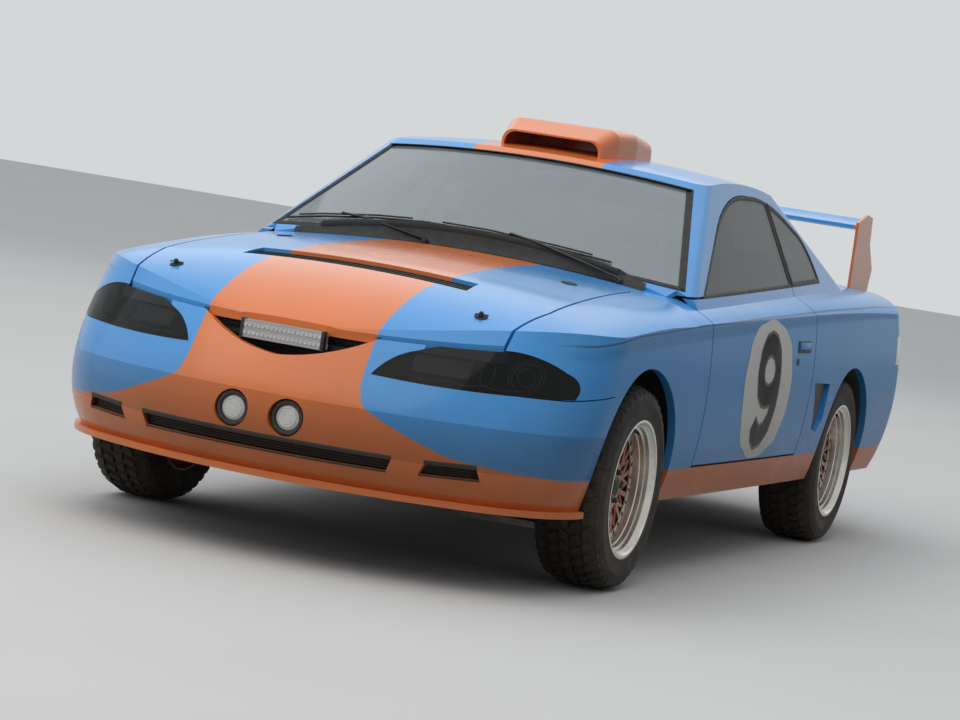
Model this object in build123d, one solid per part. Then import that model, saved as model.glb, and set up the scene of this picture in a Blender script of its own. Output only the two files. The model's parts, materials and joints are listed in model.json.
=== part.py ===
from build123d import *
import math
import os

# Rally coupe, millimetres. x runs to the car's left, the nose faces -Y, z is up.
# s is the distance back from the tip of the nose.

LENGTH = 4610.0
SKIN = 26.0
DOOR_THICK = 92.0
PANEL_GAP = 7.5
DOOR_GAP = 7.5
GLASS_INSET = 2.0
GLASS_THICK = 5.0
AXLE_FRONT = 950.0
WHEELBASE = 2573.0
AXLE_REAR = AXLE_FRONT + WHEELBASE
WHEEL_X = 775.0
TYRE_R = 327.0
TYRE_W = 224.0
BEAD_R = 209.0
RIM_IN_R = 196.0
FLANGE_R = 218.0
RIM_W = 200.0
HUB_FACE = 30.0
DISC_R = 150.0
STUB_R = 17.0
BORE_GAP = 0.5
ARCH_FRONT_R = 368.0
ARCH_REAR_R = 366.0
LINER_R = 388.0
ARCH_FRONT_Z = 343.0
ARCH_REAR_Z = 333.0
FLOOR_Z = 285.0
FLOOR_T = 12.0
TRUNK_Z = 548.0
KINGPIN_LOW = (695.0, AXLE_FRONT, 195.0)
JOINT_SEAT = 165.0
KINGPIN_TOP = (577.0, AXLE_FRONT, 845.0)
STRUT_R = 23.0
SPRING_R = 60.0
TOWER_R = 80.0
TOWER_TOP = 822.0
HOOD_HINGE = (1286.0, 952.0)
DECK_HINGE = (3806.0, 1015.0)
PIN_R = 4.0
PIN_GAP = 0.3
PIN_HALF = 150.0
BRACKET_X = 106.0
WHEEL_CENTRE = (370.0, 1835.0, 838.0)
COLUMN_TILT = 25.0
SIDE_BULGE = 90000.0
WIDEST_AT = 3000.0


def y_at(s):
    return s - LENGTH / 2


def at(x, s, z):
    return (x, y_at(s), z)


def block(x0, x1, s0, s1, z0, z1):
    centre = at((x0 + x1) / 2, (s0 + s1) / 2, (z0 + z1) / 2)
    return Pos(*centre) * Box(x1 - x0, s1 - s0, z1 - z0)


def rod(a, b, radius):
    # round bar between two places given as x, s, z
    p, q = Vector(*at(*a)), Vector(*at(*b))
    plane = Plane(origin=p, z_dir=(q - p))
    return extrude(plane * Circle(radius), (q - p).length)


def tube_run(places, radius):
    run = rod(places[0], places[1], radius)
    for a, b in zip(places[1:], places[2:]):
        run += Pos(*at(*a)) * Sphere(radius)
        run += rod(a, b, radius)
    return run


def ring_x(x0, x1, s, z, radius):
    # round bar along x
    return rod((x0, s, z), (x1, s, z), radius)


def edges_of(points, place):
    # a third value on a point marks the middle of an arc
    edges = []
    n = len(points)
    i = 0
    while i < n:
        a, b = points[i], points[(i + 1) % n]
        if len(b) == 3:
            c = points[(i + 2) % n]
            edges.append(ThreePointArc(place(a), place(b), place(c)))
            i += 2
        else:
            edges.append(Line(place(a), place(b)))
            i += 1
    return edges


def prism(points, place, along):
    face = make_face(Wire(edges_of(points, place)))
    return extrude(face, dir=along, amount=Vector(*along).length)


def side_prism(points, x0, x1):
    return prism(points, lambda p: at(x0, p[0], p[1]), (x1 - x0, 0, 0))


def plan_prism(points, z0, z1):
    return prism(points, lambda p: at(p[0], p[1], z0), (0, 0, z1 - z0))


def front_prism(points, s0, s1):
    return prism(points, lambda p: at(p[0], s0, p[1]), (0, s1 - s0, 0))


def other_side(shape):
    return shape.mirror(Plane.YZ)


def both(shape):
    return [shape, other_side(shape)]


def solids_of(shapes):
    found = []
    for shape in shapes if isinstance(shapes, (list, tuple)) else [shapes]:
        found += list(shape.solids())
    return found


def save(name, shapes, smallest=1500.0):
    found = [s for s in solids_of(shapes) if s.volume > smallest]
    export_step(found[0] if len(found) == 1 else Compound(found), "parts/" + name + ".step")


# plan outline of arcs: nose, front corner, side, rear corner, tail

def meet(c1, r1, c2, r2, side):
    dx, dy = c2[0] - c1[0], c2[1] - c1[1]
    d = math.hypot(dx, dy)
    a = (r1 * r1 - r2 * r2 + d * d) / (2 * d)
    h = math.sqrt(max(r1 * r1 - a * a, 0))
    mx, my = c1[0] + a * dx / d, c1[1] + a * dy / d
    p = [(mx + h * dy / d, my - h * dx / d), (mx - h * dy / d, my + h * dx / d)]
    return max(p, key=lambda q: q[1] * side)


def along(c, p, r):
    d = math.hypot(p[0] - c[0], p[1] - c[1])
    return (c[0] + (p[0] - c[0]) * r / d, c[1] + (p[1] - c[1]) * r / d)


def outline(z, nose, tail, wide, r_nose, r_front, r_rear, r_tail, r_side, widest):
    nc = (0.0, nose + r_nose)
    sc = (wide - r_side, widest)
    tc = (0.0, tail - r_tail)
    fc = meet(nc, r_nose - r_front, sc, r_side - r_front, -1)
    rc = meet(tc, r_tail - r_rear, sc, r_side - r_rear, 1)
    t1, t2 = along(nc, fc, r_nose), along(sc, fc, r_side)
    t3, t4 = along(sc, rc, r_side), along(tc, rc, r_tail)

    def middle(c, a, b, r):
        return along(c, ((a[0] + b[0]) / 2, (a[1] + b[1]) / 2), r)

    right = [t1, middle(fc, t1, t2, r_front), t2, middle(sc, t2, t3, r_side), t3,
             middle(rc, t3, t4, r_rear), t4]
    left = [(-p[0], p[1]) for p in reversed(right)]
    ring = [(0.0, nose)] + right + [(0.0, tail)] + left
    edges = [ThreePointArc(at(*ring[-1], z), at(*ring[0], z), at(*ring[1], z))]
    for i in (1, 3, 5, 7, 9, 11, 13):
        edges.append(ThreePointArc(*[at(*ring[k], z) for k in (i, i + 1, i + 2)]))
    return Wire(edges)


# lower body: level, nose, tail, half width
BODY_LEVELS = [(268.0, 66.0, 4495.0, 865.0),
               (476.0, 2.0, 4594.0, 905.0),
               (684.0, 97.0, 4606.0, 908.0),
               (892.0, 242.0, 4548.0, 889.0),
               (1100.0, 400.0, 4495.0, 846.0)]

# top of the lower body: s, middle height, crown edge x and z, crease x and z
HOOD_ROWS = [(-120.0, 560.0, 640.0, 505.0, 828.0, 420.0),
             (140.0, 729.0, 648.0, 679.0, 846.0, 622.0),
             (400.0, 850.0, 660.0, 806.0, 868.0, 757.0),
             (660.0, 905.0, 668.0, 861.0, 880.0, 798.0),
             (920.0, 934.0, 675.0, 890.0, 886.0, 818.0),
             (1180.0, 953.0, 682.0, 910.0, 890.0, 833.0),
             (1440.0, 967.0, 688.0, 924.0, 893.0, 845.0)]
REAR_ROWS = [(1440.0, 967.0, 688.0, 924.0, 893.0, 845.0),
             (2240.0, 993.0, 700.0, 953.0, 901.0, 869.0),
             (3040.0, 1016.0, 705.0, 979.0, 906.0, 888.0),
             (3840.0, 1022.0, 700.0, 991.0, 900.0, 899.0),
             (4640.0, 1004.0, 690.0, 975.0, 882.0, 901.0)]


def body_sides(inset):
    rings = []
    for z, nose, tail, wide in BODY_LEVELS:
        low = z - 20.0 if inset and z < 300 else z
        rings.append(outline(low, nose + inset, tail - inset, wide - inset, 1250.0 - inset,
                             450.0 - inset, 260.0 - inset, 3500.0, SIDE_BULGE, WIDEST_AT))
    return Solid.make_loft(rings)


def top_section(s, z_mid, x_edge, z_edge, x_crease, z_crease, drop):
    z_mid, z_edge, z_crease = z_mid - drop, z_edge - drop, z_crease - drop
    x_crease -= drop * 0.3
    sag = z_mid - z_edge
    big = (x_edge ** 2 + sag ** 2) / (2 * sag)
    n = (-x_edge / big, (z_mid - big - z_edge) / big)
    d = (x_crease - x_edge, z_crease - z_edge)
    r = (d[0] ** 2 + d[1] ** 2) / (2 * (n[0] * d[0] + n[1] * d[1]))
    c = (x_edge + n[0] * r, z_edge + n[1] * r)
    a0 = math.atan2(z_edge - c[1], x_edge - c[0])
    a2 = math.atan2(z_crease - c[1], x_crease - c[0]) - 60.0 / r
    mid = (c[0] + r * math.cos((a0 + a2) / 2), c[1] + r * math.sin((a0 + a2) / 2))
    end = (c[0] + r * math.cos(a2), c[1] + r * math.sin(a2))

    def p(x, z):
        return at(x, s, z)

    return Wire([ThreePointArc(p(-x_edge, z_edge), p(0, z_mid), p(x_edge, z_edge)),
                 ThreePointArc(p(x_edge, z_edge), p(*mid), p(*end)),
                 Line(p(*end), p(end[0], 150)), Line(p(end[0], 150), p(-end[0], 150)),
                 Line(p(-end[0], 150), p(-end[0], end[1])),
                 ThreePointArc(p(-end[0], end[1]), p(-mid[0], mid[1]), p(-x_edge, z_edge))])


def body_top(drop):
    front = Solid.make_loft([top_section(*row, drop) for row in HOOD_ROWS])
    return front + Solid.make_loft([top_section(*row, drop) for row in REAR_ROWS])


def lower_body(inset, drop=None):
    return body_sides(inset) & body_top(inset if drop is None else drop)


# cabin upper part: level, front, rear, half width
CABIN_LEVELS = [(860.0, 1213.0, 4184.0, 841.3),
                (1440.0, 2245.0, 2890.0, 544.3)]

# roof: s, middle height, height at 600 from the middle
ROOF_ROWS = [(1500.0, 1120.0, 1075.0),
             (2060.0, 1336.0, 1296.0),
             (2560.0, 1372.0, 1332.0),
             (3060.0, 1340.0, 1304.0),
             (3560.0, 1225.0, 1190.0),
             (4060.0, 1060.0, 1020.0)]


def cabin_sides(inset):
    rings = [outline(z, front + inset, rear - inset, wide - inset, 1600.0 - inset,
                     90.0, 150.0, 2400.0, 60000.0, 2400.0)
             for z, front, rear, wide in CABIN_LEVELS]
    return Solid.make_loft(rings, True)


def roof_solid(drop):
    wires = []
    for s, z_mid, z_side in ROOF_ROWS:
        a, b, c = at(-600, s, z_side - drop), at(0, s, z_mid - drop), at(600, s, z_side - drop)
        slope = 1.0 * (z_mid - z_side)
        l, r = at(-1000, s, z_side - drop - slope * 1.8), at(1000, s, z_side - drop - slope * 1.8)
        wires.append(Wire([Line(l, a), ThreePointArc(a, b, c), Line(c, r),
                           Line(r, at(1000, s, 700)), Line(at(1000, s, 700), at(-1000, s, 700)),
                           Line(at(-1000, s, 700), l)]))
    return Solid.make_loft(wires)


def cabin(inset):
    return cabin_sides(inset) & roof_solid(inset)


# seams and openings

BELT = [(1560.0, 924.0), (3345.0, 1008.0)]
WINDOW_SIDE = [(1672, 927.0), (2080, 1162), (2330, 1262, "m"), (2640, 1294),
               (2960, 1268, "m"), (3190, 1196), (3310, 1120, "m"), (3345, 1008.0)]
PILLAR_AT = 2880.0
SCREEN_FRONT = [(-762, 945), (0, 984, "m"), (762, 945), (578, 1284), (0, 1315, "m"), (-578, 1284)]
SCREEN_REAR = [(-600, 1066), (0, 1080, "m"), (600, 1066), (520, 1262), (0, 1290, "m"), (-520, 1262)]
LAMP_FRONT = [(300, 604), (560, 598, "m"), (826, 610), (828, 650, "m"), (796, 684), (730, 716, "m"),
              (620, 727), (500, 722, "m"), (400, 690), (340, 656, "m")]
MOUTH_FRONT = [(-296, 712), (-160, 646, "m"), (0, 614), (160, 646, "m"), (296, 712),
               (296, 790), (-296, 790)]
LOWER_SLOT = [(-396, 334), (396, 334), (410, 368), (-410, 368)]
CORNER_SLOT = [(486, 340), (648, 346), (640, 376), (500, 370)]
SEAM = [(-100.0, 598.0), (0.0, 598.0), (398.0, 604.0), (640.0, 624.0)]
SEAM_GAP = 4.0
BUMPER_BACK = 640.0
TAIL_LAMP = [(300, 706), (880, 706), (880, 822), (300, 822)]
REAR_SEAM_Z = 655.0
DECK_LOW = 838.0
SILL_TOP = 374.0
DOOR_LOW = 381.0
QUARTER_SCOOP = [(2925, 650), (3150, 640), (3120, 500), (3060, 458), (2990, 470)]
HOOD_SLOT = [(-382, 548), (382, 548), (372, 676), (-372, 676)]


def grow(points, by):
    # moves each point away from the middle of the outline
    cx = sum(p[0] for p in points) / len(points)
    cy = sum(p[1] for p in points) / len(points)
    out = []
    for p in points:
        q = (p[0] + math.copysign(by, p[0] - cx), p[1] + math.copysign(by, p[1] - cy))
        out.append(q + tuple(p[2:]))
    return out


def belt_z(s):
    (s0, z0), (s1, z1) = BELT
    return z0 + (s - s0) * (z1 - z0) / (s1 - s0)


def arch(s, z, radius, x_in):
    return ring_x(x_in, 960, s, z, radius)


def all_arches(x_in=600.0, more=0.0):
    cuts = both(arch(AXLE_FRONT, ARCH_FRONT_Z, ARCH_FRONT_R + more, x_in))
    return cuts + both(arch(AXLE_REAR, ARCH_REAR_Z, ARCH_REAR_R + more, x_in))


def hood_region(by=0.0):
    front = [(-622 - by, 300 - by), (0, 116 - by, "m"), (622 + by, 300 - by)]
    rear = [(652 + by, 560), (640 + by, 1352 + by), (0, 1292 + by, "m"), (-640 - by, 1352 + by),
            (-652 - by, 560)]
    return plan_prism(front + rear, 690, 1100)


def deck_region(by=0.0):
    points = [(-668 - by, 3800 - by), (668 + by, 3800 - by), (668 + by, 4700), (-668 - by, 4700)]
    return plan_prism(points, DECK_LOW - by, 1100)


def door_region(by=0.0, x0=600.0):
    points = [(1560 - by, DOOR_LOW - by), (2836 + by, DOOR_LOW - by), (2872 + by, 700),
              (2872 + by, belt_z(2872) + by), (1560 - by, belt_z(1560) + by)]
    return side_prism(points, x0, 960)


def window_region(by=0.0):
    pts = [p[:2] for p in WINDOW_SIDE]
    pts[0] = (1662, belt_z(1662))
    pts[-1] = (3345, belt_z(3345))
    cx, cy = 2480.0, 1080.0
    out = []
    for i, p in enumerate(WINDOW_SIDE):
        q = pts[i]
        if by and 0 < i < len(pts) - 1:
            d = math.hypot(q[0] - cx, q[1] - cy)
            q = (q[0] + (q[0] - cx) * by / d, q[1] + (q[1] - cy) * by / d)
        out.append(tuple(q) + tuple(p[2:]))
    return side_prism(out, 400, 960)


def hinge_cuts(hinge):
    # bore for the pin and two notches for its brackets
    s, z = hinge
    bore = rod((-PIN_HALF - 2, s, z), (PIN_HALF + 2, s, z), PIN_R + PIN_GAP)
    notch = block(BRACKET_X - 11, BRACKET_X + 11, s - 22, s + 22, z - 60, z + 60)
    return [bore] + both(notch)


def hinge_pin(hinge, s_end, rise=0.0):
    s, z = hinge
    pin = rod((-PIN_HALF, s, z), (PIN_HALF, s, z), PIN_R)
    arm = block(BRACKET_X - 5, BRACKET_X + 5, min(s, s_end), max(s, s_end), z - PIN_R, z + PIN_R)
    if rise:
        arm = arm + block(BRACKET_X - 5, BRACKET_X + 5, s_end, s_end + 25, z - PIN_R, z + PIN_R + rise)
    return pin + arm + other_side(arm)


def cut(shape, tools):
    for tool in tools if isinstance(tools, (list, tuple)) else [tools]:
        shape = shape - tool
    return shape


def make_panels():
    low, low_in = lower_body(0), lower_body(SKIN)
    top, top_in = cabin(0), cabin(SKIN)
    outer = low + top
    hollow = low_in + top_in
    shell = outer - hollow
    arches = all_arches()
    windows = both(window_region())
    screens = [front_prism(SCREEN_FRONT, 1150, 2245), front_prism(SCREEN_REAR, 2950, 4150)]
    lamp_cut = both(front_prism(LAMP_FRONT, -60, 600))
    tail_cut = both(block(300, 960, 4250, 4700, TAIL_LAMP[0][1], TAIL_LAMP[2][1]))
    front_end = side_prism([(-100, 200), (BUMPER_BACK, 200)] + SEAM[::-1], -960, 960)
    above = side_prism([(-100, 150), (BUMPER_BACK, 150)] + [(s, z + SEAM_GAP) for s, z in SEAM[::-1]],
                       -960, 960)
    nose_strip = front_prism([(-420, 590), (420, 590), (420, 800), (-420, 800)], -60, 310)
    fender_zone = block(-960, 960, -100, 1560 - DOOR_GAP, 200, 1000)
    cowl_zone = plan_prism([(-655, 1200), (655, 1200), (700, 1440), (790, 1700), (-790, 1700), (-700, 1440)], 700, 1100)

    # hood with a slot across it
    hood = (low & hood_region()) - low_in
    hood = cut(hood, [front_prism(MOUTH_FRONT, -60, 127), plan_prism(HOOD_SLOT, 700, 1100)])
    hood = cut(hood, hinge_cuts(HOOD_HINGE))
    save("hood", hood)

    # front bumper cover
    bumper = (low & (front_end + nose_strip)) - low_in
    bumper = cut(bumper, [hood_region(PANEL_GAP), front_prism(MOUTH_FRONT, -60, 400)] + arches)
    bumper = cut(bumper, [front_prism(LOWER_SLOT, -60, 300)])
    bumper = cut(bumper, both(front_prism(CORNER_SLOT, -60, 700)) + lamp_cut)
    bumper = cut(bumper, both(rod((89, -60, 439), (89, 300, 439), 56)))
    save("front_bumper", bumper)

    # front fenders
    fenders = (low & fender_zone) - low_in
    fenders = cut(fenders, [hood_region(PANEL_GAP), above, nose_strip, cowl_zone] + arches + lamp_cut)
    fenders = cut(fenders, [block(-960, 960, 1200, 1560, 200, SILL_TOP)])
    save("front_fenders", fenders)

    # rear bumper cover
    tail_end = block(-960, 960, AXLE_REAR + 150, 4700, 200, REAR_SEAM_Z)
    rear_bumper = cut((low & tail_end) - low_in, arches)
    rear_bumper = rear_bumper - block(-170, 170, 4400, 4700, 430, 560)
    save("rear_bumper", rear_bumper)

    # boot lid
    deck = cut((low & deck_region()) - low_in, hinge_cuts(DECK_HINGE))
    save("deck_lid", deck)

    # doors with their full thickness
    door = cut(outer & door_region(), [lower_body(DOOR_THICK, SKIN), top_in])
    save("door_left", door)
    save("door_right", other_side(door))

    # glass
    face, back = cabin(GLASS_INSET), cabin(GLASS_INSET + GLASS_THICK)
    save("windshield", (face & front_prism(SCREEN_FRONT, 1150, 2245)) - back)
    save("rear_window", (face & front_prism(SCREEN_REAR, 2950, 4150)) - back)
    front_part = side_prism([(1500, 800), (2866, 800), (2866, 1400), (1500, 1400)], 400, 960)
    rear_part = side_prism([(PILLAR_AT + 14, 800), (3400, 800), (3400, 1400), (PILLAR_AT + 14, 1400)],
                           400, 960)
    door_glass = (face & window_region(-6.0) & front_part) - back
    save("door_glass_left", door_glass)
    save("door_glass_right", other_side(door_glass))
    save("quarter_windows", both((face & window_region() & rear_part) - back))

    # lamps
    lamp = front_prism(LAMP_FRONT, -60, 560) - hood_region(PANEL_GAP)
    lens_back = lower_body(4.0)
    save("headlamp_lenses", both((low & lamp) - lens_back))
    bowls = [rod((x, s - 90, 660), (x, s, 660), 34) for x, s in ((500, 330), (620, 380))]
    save("headlamp_pods", both(cut((lower_body(14.0) & lamp) - lower_body(110.0), bowls)))
    tail_lamp = block(300, 960, 4250, 4700, TAIL_LAMP[0][1], TAIL_LAMP[2][1])
    save("tail_lamps", both((low & tail_lamp) - lower_body(SKIN + 20)))

    # sill skirts
    skirt_zone = block(-960, 960, 1250, AXLE_REAR, 200, SILL_TOP)
    skirts = cut((low & skirt_zone) - low_in, arches)
    save("side_skirts", skirts)

    # the rest of the shell: cowl, pillars, roof, quarters, tail panel
    rest = shell - (fender_zone - cowl_zone)
    rest = cut(rest, [hood_region(PANEL_GAP), deck_region(PANEL_GAP)] + both(door_region(DOOR_GAP)))
    rest = cut(rest, windows + screens + tail_cut + arches + [tail_end, skirt_zone])
    posts = both((face & side_prism([(PILLAR_AT, 940), (PILLAR_AT + 14, 940), (PILLAR_AT + 14, 1290),
                                     (PILLAR_AT, 1290)], 500, 960)) - top_in)
    scoop = side_prism(QUARTER_SCOOP, 885, 960) - lower_body(16.0)
    rest = cut(rest, both(scoop))
    save("body_shell", rest)
    save("window_posts", [post - rest for post in posts])
    pins = [hinge_pin(HOOD_HINGE, HOOD_HINGE[0] + 40), hinge_pin(DECK_HINGE, DECK_HINGE[0] - 56, 21)]
    save("lid_hinges", [pin - rest for pin in pins])
    return hollow


def make_floor(hollow):
    wells = both(arch(AXLE_REAR, ARCH_REAR_Z, ARCH_REAR_R + 14, 588))
    fwells = both(arch(AXLE_FRONT, ARCH_FRONT_Z, ARCH_FRONT_R + 2, 470))
    floor = block(-960, 960, 1350, 3200, FLOOR_Z, FLOOR_Z + FLOOR_T)
    floor = floor - block(-150, 150, 1300, 3300, 200, 400)
    tunnel = block(-162, 162, 1350, 3200, FLOOR_Z, 492) - block(-150, 150, 1340, 3210, 200, 480)
    riser = block(-960, 960, 3188, 3200, FLOOR_Z, TRUNK_Z + FLOOR_T)
    trunk = block(-960, 960, 3188, 4480, TRUNK_Z, TRUNK_Z + FLOOR_T)
    wall = block(-960, 960, 1350, 1362, FLOOR_Z, 850)
    shelf = block(-960, 960, 3400, 3412, TRUNK_Z, 930)
    whole = floor + tunnel + riser + trunk + wall
    whole = whole - block(-150, 150, 1300, 1362, 200, 480) - block(-150, 150, 3180, 3210, 200, 480)
    whole = whole & hollow
    whole = cut(whole, wells + fwells + both(door_region(DOOR_GAP)))
    save("floor_pan", whole)
    floor_solid = whole

    # sill boxes under the doors
    sills = block(640, 960, 1362, 3188, FLOOR_Z + FLOOR_T, SILL_TOP - 2) & hollow
    sills = cut(sills, wells + fwells + both(door_region(DOOR_GAP)))
    save("sills", both(sills))

    # rear wheel tubs
    tub = ring_x(590, 960, AXLE_REAR, ARCH_REAR_Z, ARCH_REAR_R + 13)
    tub = tub - ring_x(602, 960, AXLE_REAR, ARCH_REAR_Z, ARCH_REAR_R)
    tub = (tub & block(500, 960, 3000, 4000, FLOOR_Z + 2, 800)) & hollow
    tub = tub - block(580, 610, AXLE_REAR - 70, AXLE_REAR + 70, 200, 440)
    save("rear_wheel_tubs", both(tub))
    return floor_solid


def make_front_frame(hollow):
    rail = block(352, 432, 205, 1350, 330, 430) - block(358, 426, 211, 1344, 336, 424)
    apron = block(424, 440, 420, 1350, 335, 800)
    low, top = KINGPIN_LOW, KINGPIN_TOP
    d = [(top[i] - low[i]) / (top[2] - low[2]) for i in range(3)]

    def on_axis(z):
        return (low[0] + d[0] * (z - low[2]), low[1], z)

    tower_hole = rod(on_axis(640), on_axis(TOWER_TOP - 9), TOWER_R)
    tower = rod(on_axis(690), on_axis(TOWER_TOP), TOWER_R + 8)
    tower = (tower + block(430, 520, 880, 1020, 700, 790)) - tower_hole
    liner = ring_x(610, 940, AXLE_FRONT, ARCH_FRONT_Z, LINER_R + 5)
    liner = liner - ring_x(600, 950, AXLE_FRONT, ARCH_FRONT_Z, LINER_R)
    liner = (liner & block(600, 960, 500, 1400, 400, 800)) & hollow
    liner = liner - rod(on_axis(640), on_axis(TOWER_TOP + 40), TOWER_R + 8)
    side = rail + apron + tower
    beam = block(-352, 352, 205, 260, 345, 425)
    support = block(-436, 436, 330, 342, 420, 460) + block(-436, 436, 330, 342, 640, 668)
    support = support + block(-438, -420, 330, 436, 420, 666) + block(420, 438, 330, 436, 420, 666)
    save("front_frame", [side + other_side(side) + beam + support])
    save("front_liners", both(liner))
    save("radiator", block(-400, 400, 342, 400, 432, 640))
    return on_axis


def make_drive():
    save("engine_block", block(-190, 190, 560, 1200, 330, 780))
    gearbox = block(-120, 120, 1200, 1340, 300, 470) + block(-90, 90, 1340, 1900, 310, 450)
    save("gearbox", gearbox)
    shaft = rod((0, 1880, 350), (0, 3420, 335), 34)
    axle = ring_x(-690, 690, AXLE_REAR, TYRE_R, 38)
    axle = axle + (Pos(*at(0, AXLE_REAR, TYRE_R)) * Sphere(118))
    axle = axle + rod((0, 3400, 335), (0, AXLE_REAR, 335), 60)
    stub = ring_x(690, 792, AXLE_REAR, TYRE_R, STUB_R)
    axle = axle + stub + other_side(stub)
    save("rear_axle", axle)
    save("prop_shaft", cut(shaft, [gearbox, axle]))
    arm = rod((480, 3080, 255), (480, AXLE_REAR - 20, 290), 16)
    pad = block(455, 505, 3060, 3110, 245, FLOOR_Z)
    spring = rod((430, AXLE_REAR, TYRE_R), (430, AXLE_REAR, TRUNK_Z), 44)
    save("rear_suspension", both((arm + pad) - axle) + both(spring - axle))
    save("fuel_tank", block(-330, 330, 3930, 4330, 330, TRUNK_Z))
    pipe = tube_run([(-215, 1180, 420), (-215, 1290, 250), (-235, 3240, 250), (-250, 3380, 450),
                     (-250, 3690, 450), (-470, 3930, 400)], 26)
    muffler = rod((-480, 3920, 400), (-480, 4250, 400), 75)
    tail = tube_run([(-480, 4240, 380), (-480, 4330, 238), (-480, 4590, 238)], 26)
    save("exhaust", (pipe + muffler + tail) - block(-190, 190, 560, 1200, 330, 780))


def make_front_axle(on_axis):
    cross = block(-350, 350, 900, 1000, 240, 330)
    arm = plan_prism([(340, 880), (340, 1020), (560, 985), (712, 972), (712, 928), (560, 915)], 150, 171)
    arm = arm - rod(on_axis(JOINT_SEAT), on_axis(262), 28)
    hanger = block(340, 380, 900, 1000, 171, 240)
    rack = ring_x(-330, 330, 1060, 285, 26)
    brace = block(-60, 60, 1000, 1060, 262, 300)
    cross = cross + arm + other_side(arm) + hanger + other_side(hanger) + rack + brace
    save("front_crossmember", cross)

    # upright, stub shaft and strut, all turning about the kingpin line
    upright = block(640, 702, AXLE_FRONT - 42, AXLE_FRONT + 42, 250, 440)
    foot = rod(on_axis(JOINT_SEAT + 0.4), on_axis(270), 17)
    stub = ring_x(700, 792, AXLE_FRONT, TYRE_R, STUB_R)
    strut = rod(on_axis(380), on_axis(700), STRUT_R)
    spring = rod(on_axis(694), on_axis(TOWER_TOP - 15), SPRING_R)
    knuckle = upright + foot + stub + strut + spring
    save("knuckle_left", knuckle)
    save("knuckle_right", other_side(knuckle))


# half sections of tyre and rim: distance out from the wheel middle, radius
TYRE_HALF = [(-100, 209), (-100, 221), (-108, 221), (-110, 236), (-112, 272), (-106, 304), (-92, 321), (-78, 327),
             (78, 327), (92, 321), (106, 304), (112, 272), (110, 236),
             (108, 221), (100, 221), (100, 209)]
RIM_HALF = [(-108, 221), (-100, 221), (-100, 209), (100, 209), (100, 221), (108, 221),
            (108, 214), (92, 204), (78, 200), (62, 190), (30, 186), (10, 199), (-96, 199), (-108, 212)]
SPOKES = 14


def turned(points, s):
    places = [at(WHEEL_X + x, s, TYRE_R + r) for x, r in points]
    face = make_face(Polyline(*places, close=True))
    axis = Axis(at(WHEEL_X, s, TYRE_R), (1, 0, 0))
    return revolve(face, axis, 360)


def make_wheels():
    for name, s in (("front", AXLE_FRONT), ("rear", AXLE_REAR)):
        tyre = turned(TYRE_HALF, s)
        rim = turned(RIM_HALF, s)
        hub = ring_x(WHEEL_X - 58, WHEEL_X + 44, s, TYRE_R, 62)
        disc = ring_x(WHEEL_X - 54, WHEEL_X - 30, s, TYRE_R, DISC_R)
        plate = ring_x(WHEEL_X + 18, WHEEL_X + 36, s, TYRE_R, 84)
        centre = hub + disc + plate
        for k in range(SPOKES):
            spoke = Pos(*at(WHEEL_X + 27, s, TYRE_R + 136)) * Box(16, 15, 116)
            spoke = spoke.rotate(Axis(at(WHEEL_X, s, TYRE_R), (1, 0, 0)), 360.0 * k / SPOKES)
            centre = centre + spoke
        whole = rim + centre
        whole = whole - ring_x(WHEEL_X - 90, WHEEL_X + 20, s, TYRE_R, STUB_R + BORE_GAP)
        for side in ("left", "right"):
            t, r = (tyre, whole) if side == "left" else (other_side(tyre), other_side(whole))
            save("tyre_" + name + "_" + side, t)
            save("rim_" + name + "_" + side, r)


def make_cabin_parts(floor):
    # dashboard with steering column
    dash = side_prism([(1362, 700), (1560, 690), (1690, 740), (1700, 830), (1560, 880), (1362, 850)],
                      -700, 700)
    t = math.radians(COLUMN_TILT)
    x, s, z = WHEEL_CENTRE
    d = (0.0, math.cos(t), math.sin(t))
    hub_back = (x, s - 22.3 * d[1], z - 22.3 * d[2])
    root = (x, s - 190 * d[1], z - 190 * d[2])
    save("dashboard", dash + rod(root, hub_back, 22))
    axis_plane = Plane(origin=Vector(*at(x, s, z)), z_dir=(0, d[1], d[2]), x_dir=(1, 0, 0))
    ring = axis_plane * Torus(172, 13)
    hub = extrude(axis_plane * Circle(38), 22, both=True)
    spokes = [axis_plane * (Rot(0, 0, a) * (Pos(100, 0, 0) * Box(140, 26, 6))) for a in (0, 180, 270)]
    wheel = ring + hub
    for spoke in spokes:
        wheel = wheel + spoke
    save("steering_wheel", wheel)

    # bucket seats
    base = side_prism([(1960, 330), (2480, 330), (2480, 470), (2400, 500), (1990, 540), (1960, 520)],
                      -200, 200)
    back = side_prism([(2400, 500), (2480, 470), (2620, 1060), (2560, 1080), (2500, 900)], -198, 198)
    rails = block(-200, -160, 1980, 2460, FLOOR_Z + FLOOR_T, 330) + block(160, 200, 1980, 2460,
                                                                         FLOOR_Z + FLOOR_T, 330)
    seat = base + back
    save("seats", [Pos(x, 0, 0) * seat for x in (375, -375)])
    save("seat_rails", [Pos(x, 0, 0) * rails for x in (375, -375)])

    # roll cage
    foot = FLOOR_Z + FLOOR_T
    hoop = [(560, 2760, foot), (560, 2760, 900), (500, 2760, 1200), (0, 2760, 1262)]
    front = [(600, 1730, foot), (600, 1760, 860), (470, 2190, 1212), (500, 2760, 1200)]
    stay = [(500, 2760, 1200), (520, 3700, TRUNK_Z + FLOOR_T)]
    half = tube_run(hoop, 20) + tube_run(front, 20) + tube_run(stay, 20)
    cage = half + other_side(half) + rod((-560, 2760, 800), (560, 2760, 800), 20)
    cage = cage + rod((-470, 2190, 1212), (470, 2190, 1212), 20)
    save("roll_cage", (cage & block(-900, 900, 1500, 4000, foot, 1400)) - floor)


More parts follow.
